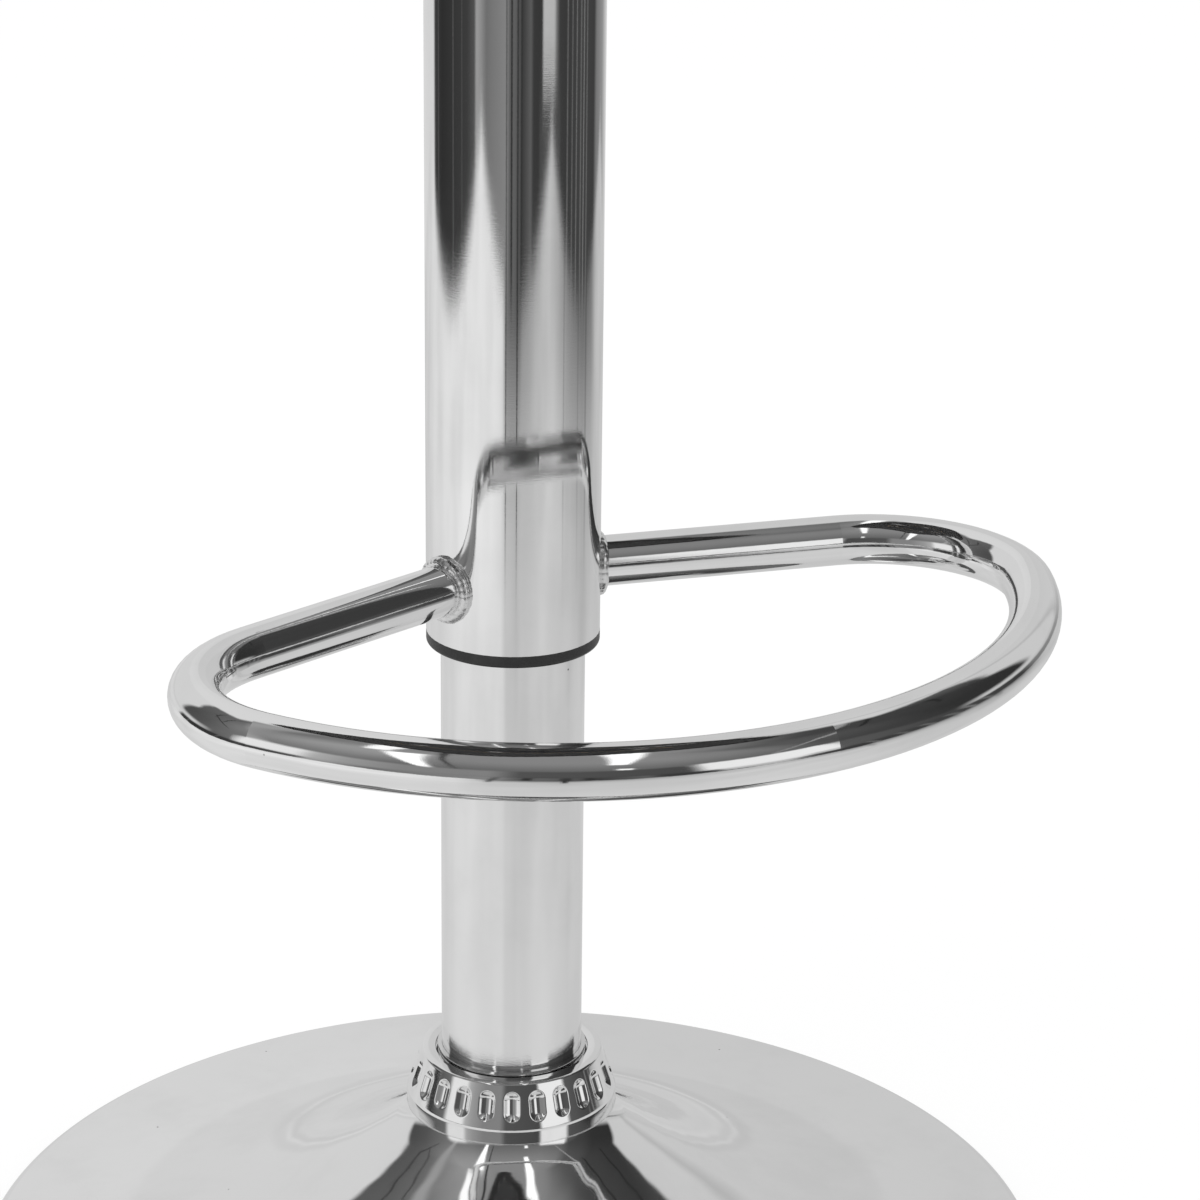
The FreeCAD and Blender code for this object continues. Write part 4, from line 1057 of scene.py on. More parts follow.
@dataclass(frozen=True)
class Polished(Finish):
    """Bright plated or polished metal with buffing grain, smudges and a few specks."""

    shades: Span = (1.0, 0.955)
    depth: float = 0.0000035
    smudge_rough: float = 1.8
    speck_scale: float = 120.0
    speck_dark: float = 0.35
    speck_rough: float = 0.5

    def paint(self, coat: Coat) -> None:
        """Lays the finish's own effects on a material in the making."""
        graph = coat.graph
        polish = graph.add("ShaderNodeGroup", {0: coat.place}, node_tree=coat.groups["polish"]).outputs
        feeds = {0: coat.place, 1: self.speck_scale}
        speck = graph.add("ShaderNodeGroup", feeds, node_tree=coat.groups["specks"]).outputs[0]
        clean = graph.mix_colour(polish["Smudge"], *self.tones())
        colour = graph.mix_colour(speck, clean, self.tone(self.speck_dark))
        rough = graph.mix(polish["Smudge"], self.roughness, self.roughness * self.smudge_rough)
        rough = graph.mix(speck, rough, self.speck_rough)
        coat.set(Base_Color=colour, Roughness=rough, Normal=self.bumped(graph, polish["Height"]))


@dataclass(frozen=True)
class Turned(Finish):
    """Machined or zinc-plated steel with turning lines and a mottled plate."""

    shades: Span = (0.86, 1.12)
    added_rough: float = 0.14
    depth: float = 0.000008
    lines: float = 1400.0
    along_lines: float = 0.2

    def paint(self, coat: Coat) -> None:
        """Lays the finish's own effects on a material in the making."""
        graph = coat.graph
        stretched = graph.vector("MULTIPLY", coat.place, (self.along_lines, self.along_lines, 1.0))
        grooves = graph.noise(stretched, scale=self.lines, detail=2.0)
        mottle = graph.noise(coat.place, scale=90.0, detail=4.0, rough=0.6)
        rough = graph.range(mottle, *NOISE_SPAN, *self.rough_span())
        colour = graph.mix_colour(mottle, *self.tones())
        coat.set(Base_Color=colour, Roughness=rough, Normal=self.bumped(graph, grooves))


@dataclass(frozen=True)
class Powder(Finish):
    """Satin powder coat with a fine orange peel, rubbed lighter where it is handled."""

    shades: Span = (1.0, 1.7)
    added_rough: float = 0.15
    depth: float = 0.00006
    strength: float = 0.7
    rubbed: Span = (0.55, 0.75)

    def paint(self, coat: Coat) -> None:
        """Lays the finish's own effects on a material in the making."""
        graph = coat.graph
        peel = graph.noise(coat.place, scale=900.0, rough=0.6)
        rubbed = graph.range(graph.noise(coat.place, scale=40.0, detail=5.0, rough=0.7), *self.rubbed)
        rough = graph.mix(rubbed, *self.rough_span())
        colour = graph.mix_colour(rubbed, *self.tones())
        coat.set(Base_Color=colour, Roughness=rough, Normal=self.bumped(graph, peel))


@dataclass(frozen=True)
class Moulded(Finish):
    """Moulded plastic or rubber with a spark-eroded texture and a little dust."""

    shades: Span = (1.0, 1.8)
    added_rough: float = 0.12
    depth: float = 0.00004
    strength: float = 0.6
    texture: float = 2200.0
    dusty: Span = (0.5, 0.8)

    def paint(self, coat: Coat) -> None:
        """Lays the finish's own effects on a material in the making."""
        graph = coat.graph
        pits = graph.noise(coat.place, scale=self.texture, detail=2.0)
        dust = graph.range(graph.noise(coat.place, scale=55.0, detail=4.0, rough=0.7), *self.dusty)
        rough = graph.range(pits, *NOISE_SPAN, *self.rough_span())
        colour = graph.mix_colour(dust, *self.tones())
        coat.set(Base_Color=colour, Roughness=rough, Normal=self.bumped(graph, pits))


@dataclass(frozen=True)
class Plywood(Finish):
    """Raw plywood: long grain on its faces and thin layers at its edges."""

    shades: Span = (0.7, 1.15)
    depth: float = 0.0002
    strength: float = 0.6
    layer: float = 0.0015
    layer_dark: float = 0.5
    layer_share: float = 0.72
    layer_edge: float = 0.3
    across_grain: float = 9.0

    def paint(self, coat: Coat) -> None:
        """Lays the finish's own effects on a material in the making."""
        graph = coat.graph
        stretched = graph.vector("MULTIPLY", coat.place, (1.0, self.across_grain, self.across_grain))
        grain = graph.noise(stretched, scale=30.0, detail=5.0, rough=0.65)
        up = graph.share(coat.place, (0.0, 0.0, 1.0))
        wave = graph.math("SINE", graph.product(up, math.pi / self.layer))
        plies = graph.range(wave, -self.layer_edge, self.layer_edge, self.layer_share, 1.0)
        wood = graph.mix_colour(grain, *self.tones())
        colour = graph.mix_colour(plies, self.tone(self.layer_dark), wood)
        coat.set(Base_Color=colour, Normal=self.bumped(graph, grain))


@dataclass(frozen=True)
class Fibre(Finish):
    """Pressed fibre sheet, foam or thread: a random felt of short fibres."""

    shades: Span = (0.6, 1.5)
    depth: float = 0.00015
    fibres: float = 700.0
    sheen: float = 0.1

    def paint(self, coat: Coat) -> None:
        """Lays the finish's own effects on a material in the making."""
        felt = coat.graph.noise(coat.place, scale=self.fibres, detail=5.0, rough=0.75)
        colour = coat.graph.mix_colour(felt, *self.tones())
        coat.set(Base_Color=colour, Sheen_Weight=self.sheen, Normal=self.bumped(coat.graph, felt))


@dataclass(frozen=True)
class Vinyl(Finish):
    """Soft upholstery vinyl: pebbled grain in two sizes with painted shade in its valleys, creases, and a
    slight wear shine.
    """

    # The first shade is painted shade in the grain's valleys and the second the pebbles' tops.
    shades: Span = (0.55, 1.1)
    added_rough: float = 0.2
    depth: float = 0.00022
    pebbles: float = 520.0
    pebble_edge: float = 0.22
    warp: float = 0.0022
    broad_share: float = 0.5
    worn: Span = (0.45, 0.7)
    worn_light: float = 1.45
    worn_smooth: float = 0.06
    specular: float = 0.28

    def paint(self, coat: Coat) -> None:
        """Lays the finish's own effects on a material in the making."""
        graph = coat.graph
        bent = graph.add("ShaderNodeTexNoise", {"Vector": coat.place, "Scale": 180.0})
        warped = graph.vector("MULTIPLY_ADD", bent.outputs["Color"], (self.warp,) * 3, coat.place)
        feeds = {"Vector": warped, "Scale": self.pebbles}
        cells = graph.add("ShaderNodeTexVoronoi", feeds, feature="DISTANCE_TO_EDGE")
        valley = graph.range(cells.outputs["Distance"], 0.0, self.pebble_edge)
        broad = graph.noise(coat.place, scale=70.0, detail=4.0, rough=0.6)
        wear = graph.range(graph.noise(coat.place, scale=14.0), *self.worn)
        # The colour is darker in the grain's valleys and lighter on its pebbles: painted shade in the
        # valleys.
        colour = graph.mix_colour(wear, graph.mix_colour(valley, *self.tones()), self.tone(self.worn_light))
        plain = graph.mix(valley, *self.rough_span()[::-1])
        rough = graph.mix(wear, plain, self.roughness - self.worn_smooth)
        normal = self.bumped(graph, graph.math("MULTIPLY_ADD", broad, self.broad_share, valley))
        coat.set(Base_Color=colour, Roughness=rough, Specular_IOR_Level=self.specular, Normal=normal)


class Palette:
    """All finishes of the stool, built once: one for each of the record's slots, and three special ones."""

    finishes: dict[str, Finish] = {
        "chrome": Polished("polished_chrome", (0.90, 0.90, 0.90), 0.045, 1.0, depth=0.000005),
        "weld": Polished("chromed_weld", (0.82, 0.82, 0.82), 0.20, 1.0, depth=0.00003, speck_scale=500.0),
        "socket": Polished("polished_socket", (0.78, 0.78, 0.78), 0.05, 1.0),
        "steel": Turned("turned_steel", (0.55, 0.55, 0.55), 0.30, 1.0),
        "zinc": Turned("zinc_plate", (0.66, 0.66, 0.65), 0.26, 1.0),
        "black_paint": Powder("black_powder_coat", (0.022, 0.022, 0.023), 0.38),
        "pin_steel": Turned("ground_steel", (0.62, 0.62, 0.62), 0.2, 1.0),
        "black_plastic": Moulded("black_plastic", (0.018, 0.018, 0.018), 0.36),
        "rubber": Moulded("black_rubber", (0.022, 0.022, 0.022), 0.58, texture=1400.0, depth=0.00006),
        "plywood": Plywood("raw_plywood", (0.60, 0.44, 0.27), 0.62),
        "cover_cloth": Fibre("black_fibre_sheet", (0.035, 0.035, 0.035), 0.9),
        "foam": Fibre("open_foam", (0.72, 0.66, 0.46), 0.95),
        "vinyl": Vinyl("black_vinyl", (0.022, 0.021, 0.021), 0.42),
        "thread": Fibre("waxed_thread", (0.03, 0.03, 0.03), 0.6, fibres=2500.0, depth=0.00008),
    }

    def __init__(self) -> None:
        """Builds the shared groups and every material."""
        groups = {"polish": buffed_grain(), "specks": sparse_specks()}
        self.materials = {name: finish.build(groups) for name, finish in self.finishes.items()}

    def dress(self, piece: Piece, finish: str) -> None:
        """Gives a piece one finish.

        Args:
            piece: The object.
            finish: The finish's name in the palette.
        """
        piece.data.materials.clear()
        piece.data.materials.append(self.materials[finish])

    def fit(self, piece: Piece, finish: str, slot: str, body: Body) -> None:
        """Gives a new piece its finish and sets it on its body.

        Args:
            piece: The object.
            finish: The finish's name in the palette.
            slot: Not used.
            body: The body that it rides on.
        """
        self.dress(piece, finish)
        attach(piece, body.value)
        log.info("%s is made", piece.name)

    def dress_nodes(self) -> None:
        """Gives each CAD node the finish of its slot in the record; the socket's is a polished steel."""
        for entry in frame["record"]["subparts"]:
            finish = "socket" if entry["node"] == "taper_socket" else entry["material_slot"]
            self.dress(frame["nodes"][entry["node"]], finish)
            log.info("%s is dressed in %s", entry["node"], finish)


@dataclass(frozen=True)
class Outline:
    """A rounded square whose sides are drawn in between its corners, as on the seat.

    The corner arcs have the centres (+-middle_x, +-middle_y) and run past a quarter by the side turn. A
    hollow arc that is tangent to both corners joins them. With no turn the sides are straight.
    """

    half_width: float
    half_depth: float
    corner: float
    side_turn: float
    corner_steps: int = 56
    side_steps: int = 120

    def loop(self, inset: float = 0.0) -> np.ndarray:
        """The outline drawn in by an inset, anticlockwise from the middle of the front right corner.

        Args:
            inset: How far it is drawn in, in metres.

        Returns:
            An array of x, y.
        """
        middle = (self.half_width - self.corner, self.half_depth - self.corner)
        parts = []
        for quarter in range(4):
            sign_x = 1 if quarter in (0, 1) else -1
            sign_y = 1 if quarter in (1, 2) else -1
            start = -math.pi / 2 + quarter * math.pi / 2
            end = start + math.pi / 2
            centre = (sign_x * middle[0], sign_y * middle[1])
            sweep = (start - self.side_turn, end + self.side_turn)
            parts.append(arc(centre, self.corner - inset, *sweep, self.corner_steps)[:-1])
            half, out = middle[::-1] if quarter in (0, 2) else middle
            parts.append(self.side(end, half, out, inset))
        return np.roll(np.concatenate(parts), -self.corner_steps // 2, axis=0)

    def side(self, facing: float, half: float, out: float, inset: float) -> np.ndarray:
        """One side, from corner to corner.

        Args:
            facing: The angle that the side faces.
            half: Half the distance between its corners' centres.
            out: How far those centres are from the middle.
            inset: How far the side is drawn in.

        Returns:
            An array of x, y.
        """
        along = np.array([-math.sin(facing), math.cos(facing)])
        outward = np.array([math.cos(facing), math.sin(facing)])
        if self.side_turn == 0.0:
            steps = np.linspace(-half, half, self.side_steps + 1)[:-1, None]
            return steps * along + (out + self.corner - inset) * outward
        span = half / math.sin(self.side_turn)
        hollow = span - self.corner + inset
        turns = np.linspace(-self.side_turn, self.side_turn, self.side_steps + 1)[:-1, None]
        far = out + span * math.cos(self.side_turn)
        return hollow * np.sin(turns) * along + (far - hollow * np.cos(turns)) * outward


@dataclass
class SeatPad:
    """The padded seat: a crowned vinyl cushion with four sewn channels, piping and a stitched seam."""

    palette: Palette
    crown: float = 1.100
    edge: float = 0.024
    edge_start: float = 0.19
    edge_rings: int = 18
    side_rings: int = 18
    foot: float = 0.005
    foot_rings: int = 6
    channel_spacing: float = 0.079
    channel_count: int = 4
    channel_depth: float = 0.0062
    channel_width: float = 0.0042
    puff: float = 0.0030
    puff_width: float = 0.014
    gather: float = 0.00045
    gather_pace: Triple = (410.0, 2.0, 57.0)
    gather_rates: Triple = (133.0, 90.0, 0.7)
    gather_width: float = 0.012
    piping_radius: float = 0.0026
    piping_inset: float = 0.0004
    piping_sides: int = 14
    piping_swells: tuple[Span, ...] = ((0.02, 61.0), (0.01, 143.0))
    board_margin: float = 0.0129
    board_top: float = 0.7109
    floor_shares: Span = (0.6, 0.25)
    waist: float = 0.0016
    waist_width: float = 0.005
    stitch_pitch: float = 0.0052
    stitch_half: float = 0.0019
    stitch_radius: float = 0.00042
    stitch_rise: float = 0.00015
    stitch_reach: float = 0.004
    grid_half: int = 88

    def __post_init__(self) -> None:
        """Takes the seat's size from the CAD nodes' boxes."""
        low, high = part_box("seat_cover")
        self.bottom = low.z
        self.top = high.z
        self.outline = Outline(high.x, high.y, SEAT_CORNER, SIDE_TURN)
        self.brow = self.outline.loop(self.edge * (1.0 - math.sin(self.edge_start)))
        piping_low, piping_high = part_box("seat_piping")
        self.seam = (piping_low.z + piping_high.z) / 2

    def crown_height(self, place: np.ndarray) -> np.ndarray:
        """Height of the crown, a large sphere: its middle's height plus the root of R2 - x2 - y2."""
        return self.top - self.crown + np.sqrt(self.crown**2 - place[..., 0] ** 2 - place[..., 1] ** 2)

    def channel_places(self) -> np.ndarray:
        """How far each channel is from the seat's middle line."""
        return (np.arange(self.channel_count) - (self.channel_count - 1) / 2) * self.channel_spacing

    def relief(self, place: np.ndarray) -> np.ndarray:
        """How far the skin stands from the plain crown.

        It sinks in each channel as the sum of a narrow and a wider bell curve of the distance from its
        line. Small gathers, products of sines, run into the seams.

        Args:
            place: An array that ends in x, y.

        Returns:
            The height in metres, with the channels below zero.
        """
        x, y = place[..., 0], place[..., 1]
        distance = np.min(np.abs(y[..., None] - self.channel_places()), axis=-1)
        sunk = self.channel_depth * bell(distance, self.channel_width)
        sunk += self.puff * bell(distance, self.puff_width)
        folds = wandering(x, *self.gather_pace) * crossed(x, y, self.gather_rates)
        return self.gather * folds * bell(distance, self.gather_width) - sunk

    def top_grid(self) -> np.ndarray:
        """The top's points, as a square grid stretched over the outline.

        A point (a, b) of the square lies on the smaller square of half size m = max(|a|, |b|), and goes
        to m times the outline's point at the same share of its way round.
        """
        steps = np.linspace(-1.0, 1.0, 2 * self.grid_half + 1)
        b, a = np.meshgrid(steps, steps, indexing="ij")
        size = np.maximum(np.abs(a), np.abs(b))
        safe = np.maximum(size, 1e-9)
        right = (b / safe + 1.0) / 2.0
        back = (1.0 - a / safe) / 2.0 + 1.0
        left = (1.0 - b / safe) / 2.0 + 2.0
        front = (a / safe + 1.0) / 2.0 + 3.0
        on_side = np.abs(a) >= np.abs(b)
        quarters = np.where(on_side, np.where(a > 0, right, left), np.where(b > 0, back, front))
        share = quarters * len(self.brow) / 4 % len(self.brow)
        closed = np.concatenate([self.brow, self.brow[:1]])
        flat = np.stack([np.interp(share, np.arange(len(closed)), closed[:, k]) for k in (0, 1)], axis=-1)
        flat = flat * size[..., None]
        return with_height(flat, self.crown_height(flat) + self.relief(flat))

    def rings(self) -> np.ndarray:
        """The rings from the top's edge, round it, down the side and in under the board.

        Over the edge a ring at the angle t has the inset e (1 - sin t) and the height h + e cos t. The
        side draws in at the seam as a bell curve of the distance from it, and bulges under it.
        """
        base = self.crown_height(self.brow) - self.edge * math.cos(self.edge_start)
        relief = self.relief(self.brow)
        rings = []
        for turn in np.linspace(self.edge_start, math.pi / 2, self.edge_rings)[1:]:
            loop = self.outline.loop(self.edge * (1.0 - math.sin(turn)))
            push = relief * max(math.cos(turn), 0.0) ** 0.5
            height = base + self.edge * math.cos(turn) + push * math.cos(turn)
            rings.append(self.drawn(loop, height, push * math.sin(turn)))
        rim = self.outline.loop()
        foot_top = self.bottom + self.foot
        for share in np.linspace(0.0, 1.0, self.side_rings)[1:]:
            rings.append(self.drawn(rim, base + (foot_top - base) * share, np.zeros(len(rim))))
        for turn in np.linspace(0.0, math.pi / 2, self.foot_rings)[1:]:
            loop = self.outline.loop(self.foot * (1.0 - math.cos(turn)))
            rings.append(self.level(loop, self.bottom + self.foot * (1.0 - math.sin(turn))))
        inner = self.outline.loop(self.board_margin)
        rings.append(self.level(inner, self.bottom))
        for share in (1.0, *self.floor_shares):
            rings.append(self.level(inner * share, self.board_top))
        return np.stack(rings)

    def drawn(self, loop: np.ndarray, height: np.ndarray, push: np.ndarray) -> np.ndarray:
        """A ring of the side, moved along its outward direction by the seam's pull and a push."""
        pull = -self.waist * bell(height - self.seam, self.waist_width)
        return with_height(loop + outward_from(loop) * (pull + push)[:, None], height)

    def level(self, loop: np.ndarray, height: float) -> np.ndarray:
        """A flat ring at one height."""
        return with_height(loop, np.full(len(loop), height))

    def cushion(self) -> Piece:
        """Joins the top grid, the rings and a fan under the board to one closed mesh."""
        grid = self.top_grid().reshape(-1, 3)
        side = 2 * self.grid_half + 1
        index = np.arange(side * side).reshape(side, side)
        border = np.concatenate([index[:-1, -1], index[-1, :0:-1], index[:0:-1, 0], index[0, :-1]])
        rings = self.rings()
        around = len(grid) + np.arange(rings.shape[0] * rings.shape[1]).reshape(rings.shape[:2])
        loops = np.concatenate([border[None], around])
        loops = np.concatenate([loops, loops[:, :1]], axis=1)
        walls = quads(loops)[:, [0, 3, 2, 1]]
        points = np.concatenate([grid, rings.reshape(-1, 3), [[0.0, 0.0, self.board_top]]])
        last = loops[-1]
        fan = np.stack([last[1:], last[:-1], np.full(len(border), len(points) - 1)], axis=-1)
        return mesh_object("seat_pad", points, quads(index), walls, fan)

    def piping(self) -> Piece:
        """The piping: a round cord along the seam.

        A circle of the cord's radius is carried along the outline, and the radius swells and shrinks a
        little with two sines of the way round.
        """
        loop = self.outline.loop()
        turn = full_turn(self.piping_sides)
        way = full_turn(len(loop))
        swells = sum(share * (np.sin(rate * way) - 1.0) for share, rate in self.piping_swells)
        radius = self.piping_radius * (1.0 + swells)
        across = radius[:, None] * np.cos(turn) - self.piping_inset
        flat = loop[:, None, :] + outward_from(loop)[:, None, :] * across[..., None]
        height = self.seam + radius[:, None] * np.sin(turn)
        return surface("seam_piping", with_height(flat, height), tube=True)

    def stitches(self) -> Piece:
        """Thread stitches along the bottom of each channel.

        Each stitch is a short spindle whose middle stands out of the skin by half its thickness.
        """
        loop = self.outline.loop(self.edge)
        rows = []
        for channel in self.channel_places():
            across = loop[np.abs(loop[:, 1] - channel) < self.stitch_reach]
            reach = float(np.abs(across[:, 0]).max())
            steps = np.arange(-reach, reach, self.stitch_pitch)
            rows.append(np.stack([steps, np.full_like(steps, channel)], axis=-1))
        flat = np.concatenate(rows)
        places = with_height(flat, self.crown_height(flat) + self.relief(flat) + self.stitch_rise)
        axes = np.diag([self.stitch_half, self.stitch_radius, self.stitch_radius])
        return spindles("channel_stitches", places, np.tile(axes, (len(places), 1, 1)))

    def build(self) -> None:
        """Makes the seat's pieces, dresses them and sets them on the seat's body."""
        cushion = self.cushion()
        self.palette.fit(cushion, "vinyl", "vinyl", Body.SEAT)
        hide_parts("seat_cover", "seat_foam")
        piping = self.piping()
        self.palette.fit(piping, "vinyl", "vinyl", Body.SEAT)
        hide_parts("seat_piping")
        self.palette.fit(self.stitches(), "thread", "vinyl", Body.SEAT)


@dataclass
class BaseShell:
    """The spun base: a sheet from the foot over the rim and the disc, up the flare and in over the neck.

    Two hollow arcs make the flare. A point of a hollow arc at the slope s is its centre less the radius
    times (sin s, cos s), and the sheet's underside has the same centres with its thickness added.
    """

    palette: Palette
    sheet: float = 0.0015
    rim_round: float = 0.004
    rim_band: float = 0.0018
    disc_slope: float = math.radians(1.5)
    split_slope: float = math.radians(39.0)
    neck_slope: float = math.radians(66.0)
    flare_round: float = 0.022
    neck_radius: float = 0.0355
    collar_band: float = 0.0058
    crown_radius: float = 0.0305
    mouth_radius: float = 0.02655
    steps_round: int = 320
    ripple: float = 0.000035
    ripple_reach: float = 0.06
    ripple_rate: float = 520.0
    ripple_bend: Triple = (1.6, 2.0, 0.6)
    lobe: float = 0.00008
    lobe_rates: Triple = (7.0, 60.0, 0.0)
    fine_lobe: float = 0.00003
    fine_rates: tuple[Triple, Triple] = ((23.0, 420.0, 0.0), (5.0, 310.0, 0.0))
    lobe_radius: float = 0.050
    lobe_width: float = 0.022
    disc_wave: float = 0.00010
    disc_rates: tuple[Triple, Triple] = ((38.0, 21.0, 0.8), (-17.0, 31.0, 2.2))
    wave_start: float = 0.0385
    wave_end: float = 0.186
    wave_fades: Span = (0.012, 0.02)

    def hollow(self, low: Span, radius: float, slopes: Span, steps: int) -> np.ndarray:
        """A hollow arc that starts at a point.

        Args:
            low: Where it starts.
            radius: Its radius on the outside.
            slopes: The slopes that it starts and ends at.
            steps: How many steps it has.

        Returns:
            The outside's points and the inside's, as two arrays of x, z without their last one.
        """
        first, last = slopes
        centre = (low[0] + radius * math.sin(first), low[1] + radius * math.cos(first))
        return np.stack([
            arc(centre, -(radius + inside), math.pi / 2 - first, math.pi / 2 - last, steps)[:-1]
            for inside in (0.0, self.sheet)
        ])

    def profile(self) -> np.ndarray:
        """The sheet's closed line: the outside from the foot to the neck, and the inside back down.

        Returns:
            An array of x, z.
        """
        low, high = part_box("base_shell")
        neck_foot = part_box("collar")[0].z
        rim_top = low.z + self.rim_band
        slope, split = self.disc_slope, self.split_slope
        turn_x = high.x - self.rim_round * (1.0 - math.sin(slope))
        turn_z = rim_top + self.rim_round * math.cos(slope)
        split_x = self.neck_radius + self.flare_round * (math.sin(self.neck_slope) - math.sin(split))
        split_z = neck_foot - self.flare_round * (math.cos(split) - math.cos(self.neck_slope))
        fall = split_z - turn_z - (turn_x - split_x) * math.tan(slope)
        run, rise = math.sin(split) - math.sin(slope), math.cos(slope) - math.cos(split)
        sweep = fall / (rise - run * math.tan(slope))
        foot = (split_x + sweep * run, split_z - sweep * rise)
        lower = self.hollow(foot, sweep, (slope, split), 62)
        upper = self.hollow((split_x, split_z), self.flare_round, (split, self.neck_slope), 24)
        shoulder = neck_foot + self.collar_band
        lines = []
        for inside, below, above in zip((0.0, self.sheet), lower, upper):
            rim_middle = (high.x - self.rim_round, rim_top)
            rim = arc(rim_middle, self.rim_round - inside, 0.0, math.pi / 2 - slope, 12)
            disc_end = (foot[0] - inside * math.sin(slope), foot[1] - inside * math.cos(slope))
            neck, crown, top = self.neck_radius - inside, self.crown_radius - inside, high.z - inside
            lines.append(np.concatenate([
                line((high.x - inside, low.z), (high.x - inside, rim_top), 3), rim[:-1],
                line(tuple(rim[-1]), disc_end, 10), below, above,
                line((neck, neck_foot), (neck, shoulder), 3), line((neck, shoulder), (crown, top), 4),
                line((crown, top), (self.mouth_radius, top), 4), [(self.mouth_radius, top)],
            ]))
        return np.concatenate([lines[0], lines[1][::-1]])

    def waves(self, x: np.ndarray, y: np.ndarray) -> np.ndarray:
        """The spun sheet's slight waves, which lift both of its sides alike.

        They are a ripple along the radius, bent a little with the turn, broad and narrow lobes round the
        flare, and two broad waves across the disc. They die out at the rim and under the collar.

        Args:
            x: Places to the right.
            y: Places to the back.

        Returns:
            The heights in metres.
        """
        radius = np.hypot(x, y)
        turn = np.arctan2(y, x)
        bend, bend_rate, phase = self.ripple_bend
        bent = np.sin(radius * self.ripple_rate + bend * np.sin(bend_rate * turn + phase))
        lobes = self.lobe * crossed(turn, radius, self.lobe_rates)
        fine = np.prod([crossed(turn, radius, rates) for rates in self.fine_rates], axis=0)
        lobes += self.fine_lobe * fine
        near = lobes * bell(radius - self.lobe_radius, self.lobe_width)
        broad = self.disc_wave * np.prod([crossed(x, y, rates) for rates in self.disc_rates], axis=0)
        waves = self.ripple * bent * np.exp(-radius / self.ripple_reach) + near + broad
        fade_in = np.clip((radius - self.wave_start) / self.wave_fades[0], 0.0, 1.0)
        fade_out = np.clip((self.wave_end - radius) / self.wave_fades[1], 0.0, 1.0)
        return waves * (fade_in * fade_out)

    def build(self) -> None:
        """Turns the sheet's closed line round the axis and adds its waves."""
        points = turned(self.profile(), self.steps_round)
        points[..., 2] += self.waves(points[..., 0], points[..., 1])
        shell = surface("spun_base", points, tube=True)
        fix_normals(shell)
        self.palette.fit(shell, "chrome", "chrome", Body.BASE)
        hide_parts("base_shell")


@dataclass
class Collar:
    """The pressed collar: a short band, a soft shoulder and a cone with dimples up to a flat lip.

    A dimple is a racetrack: with q the distance from its middle line over its half width, it is sunk by its
    depth times (1 - q squared) to a power a little above 1, which leaves a softly rounded edge.
    """

    palette: Palette
    band: float = 0.0058
    lip: float = 0.005
    bore: float = 0.0272
    wall: float = 0.0017
    skirt_inside: float = 0.03555
    crown_inside: float = 0.03065
    shoulder_round: float = 0.0045
    lip_round: float = 0.0010
    foot_round: float = 0.0004
    dimples: int = 24
    dimple_steps: int = 40
    half_width: float = 0.0030
    half_length: float = 0.0054
    depth: float = 0.00135
    edge_power: float = 1.2
    cone_slack: float = 0.0003

    def build(self) -> None:
        """Turns the collar's profile and sinks the dimples into its cone."""
        low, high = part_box("collar")
        shoulder = low.z + self.band
        top_radius = self.bore + self.lip
        lean = math.atan2(high.x - top_radius, high.z - shoulder)
        reach = self.shoulder_round * math.tan(lean / 2.0)
        soft = arc((high.x - self.shoulder_round, shoulder - reach), self.shoulder_round, 0.0, lean, 8)
        tuck = self.lip_round * math.tan((math.pi / 2 - lean) / 2.0)
        over = arc((top_radius - tuck, high.z - self.lip_round), self.lip_round, lean, math.pi / 2, 6)
        foot, quarter = self.foot_round, math.pi / 2
        outline = np.concatenate([
            arc((high.x - foot, low.z + foot), foot, -quarter, 0.0, 3),
            line((high.x, low.z + 2.0 * foot), tuple(soft[0]), 3), soft[:-1],
            line(tuple(soft[-1]), tuple(over[0]), 50), over,
            arc((self.bore + foot, high.z - foot), foot, quarter, math.pi, 3),
            np.array([
                [self.bore, high.z - self.wall], [self.crown_inside, high.z - self.wall],
                [self.skirt_inside, shoulder], [self.skirt_inside, low.z],
            ]),
        ])
        points = turned(outline, self.dimples * self.dimple_steps)
        middle = np.array([(high.x + top_radius) / 2.0, (shoulder + high.z) / 2.0])
        outward = np.array([math.cos(lean), math.sin(lean)])
        off = outline - middle
        up = off @ np.array([-math.sin(lean), math.cos(lean)])
        on_cone = np.abs(off @ outward) < self.cone_slack
        half_pitch = self.dimple_steps / 2
        spot = (np.arange(points.shape[1]) + half_pitch) % self.dimple_steps - half_pitch
        aside = outline[:, :1] * spot[None] * 2.0 * math.pi / points.shape[1]
        past = np.maximum(np.abs(up) - (self.half_length - self.half_width), 0.0)[:, None]
        share = np.minimum(np.hypot(aside, past) / self.half_width, 1.0)
        sunk = self.depth * (1.0 - share**2) ** self.edge_power * on_cone[:, None]
        outer = unit(points * np.array([1.0, 1.0, 0.0]))
        points = points - sunk[..., None] * (outer * outward[0] + np.array([0.0, 0.0, outward[1]]))
        collar = surface("dimpled_collar", points, tube=True)
        fix_normals(collar)
        self.palette.fit(collar, "chrome", "chrome", Body.BASE)
        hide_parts("collar")


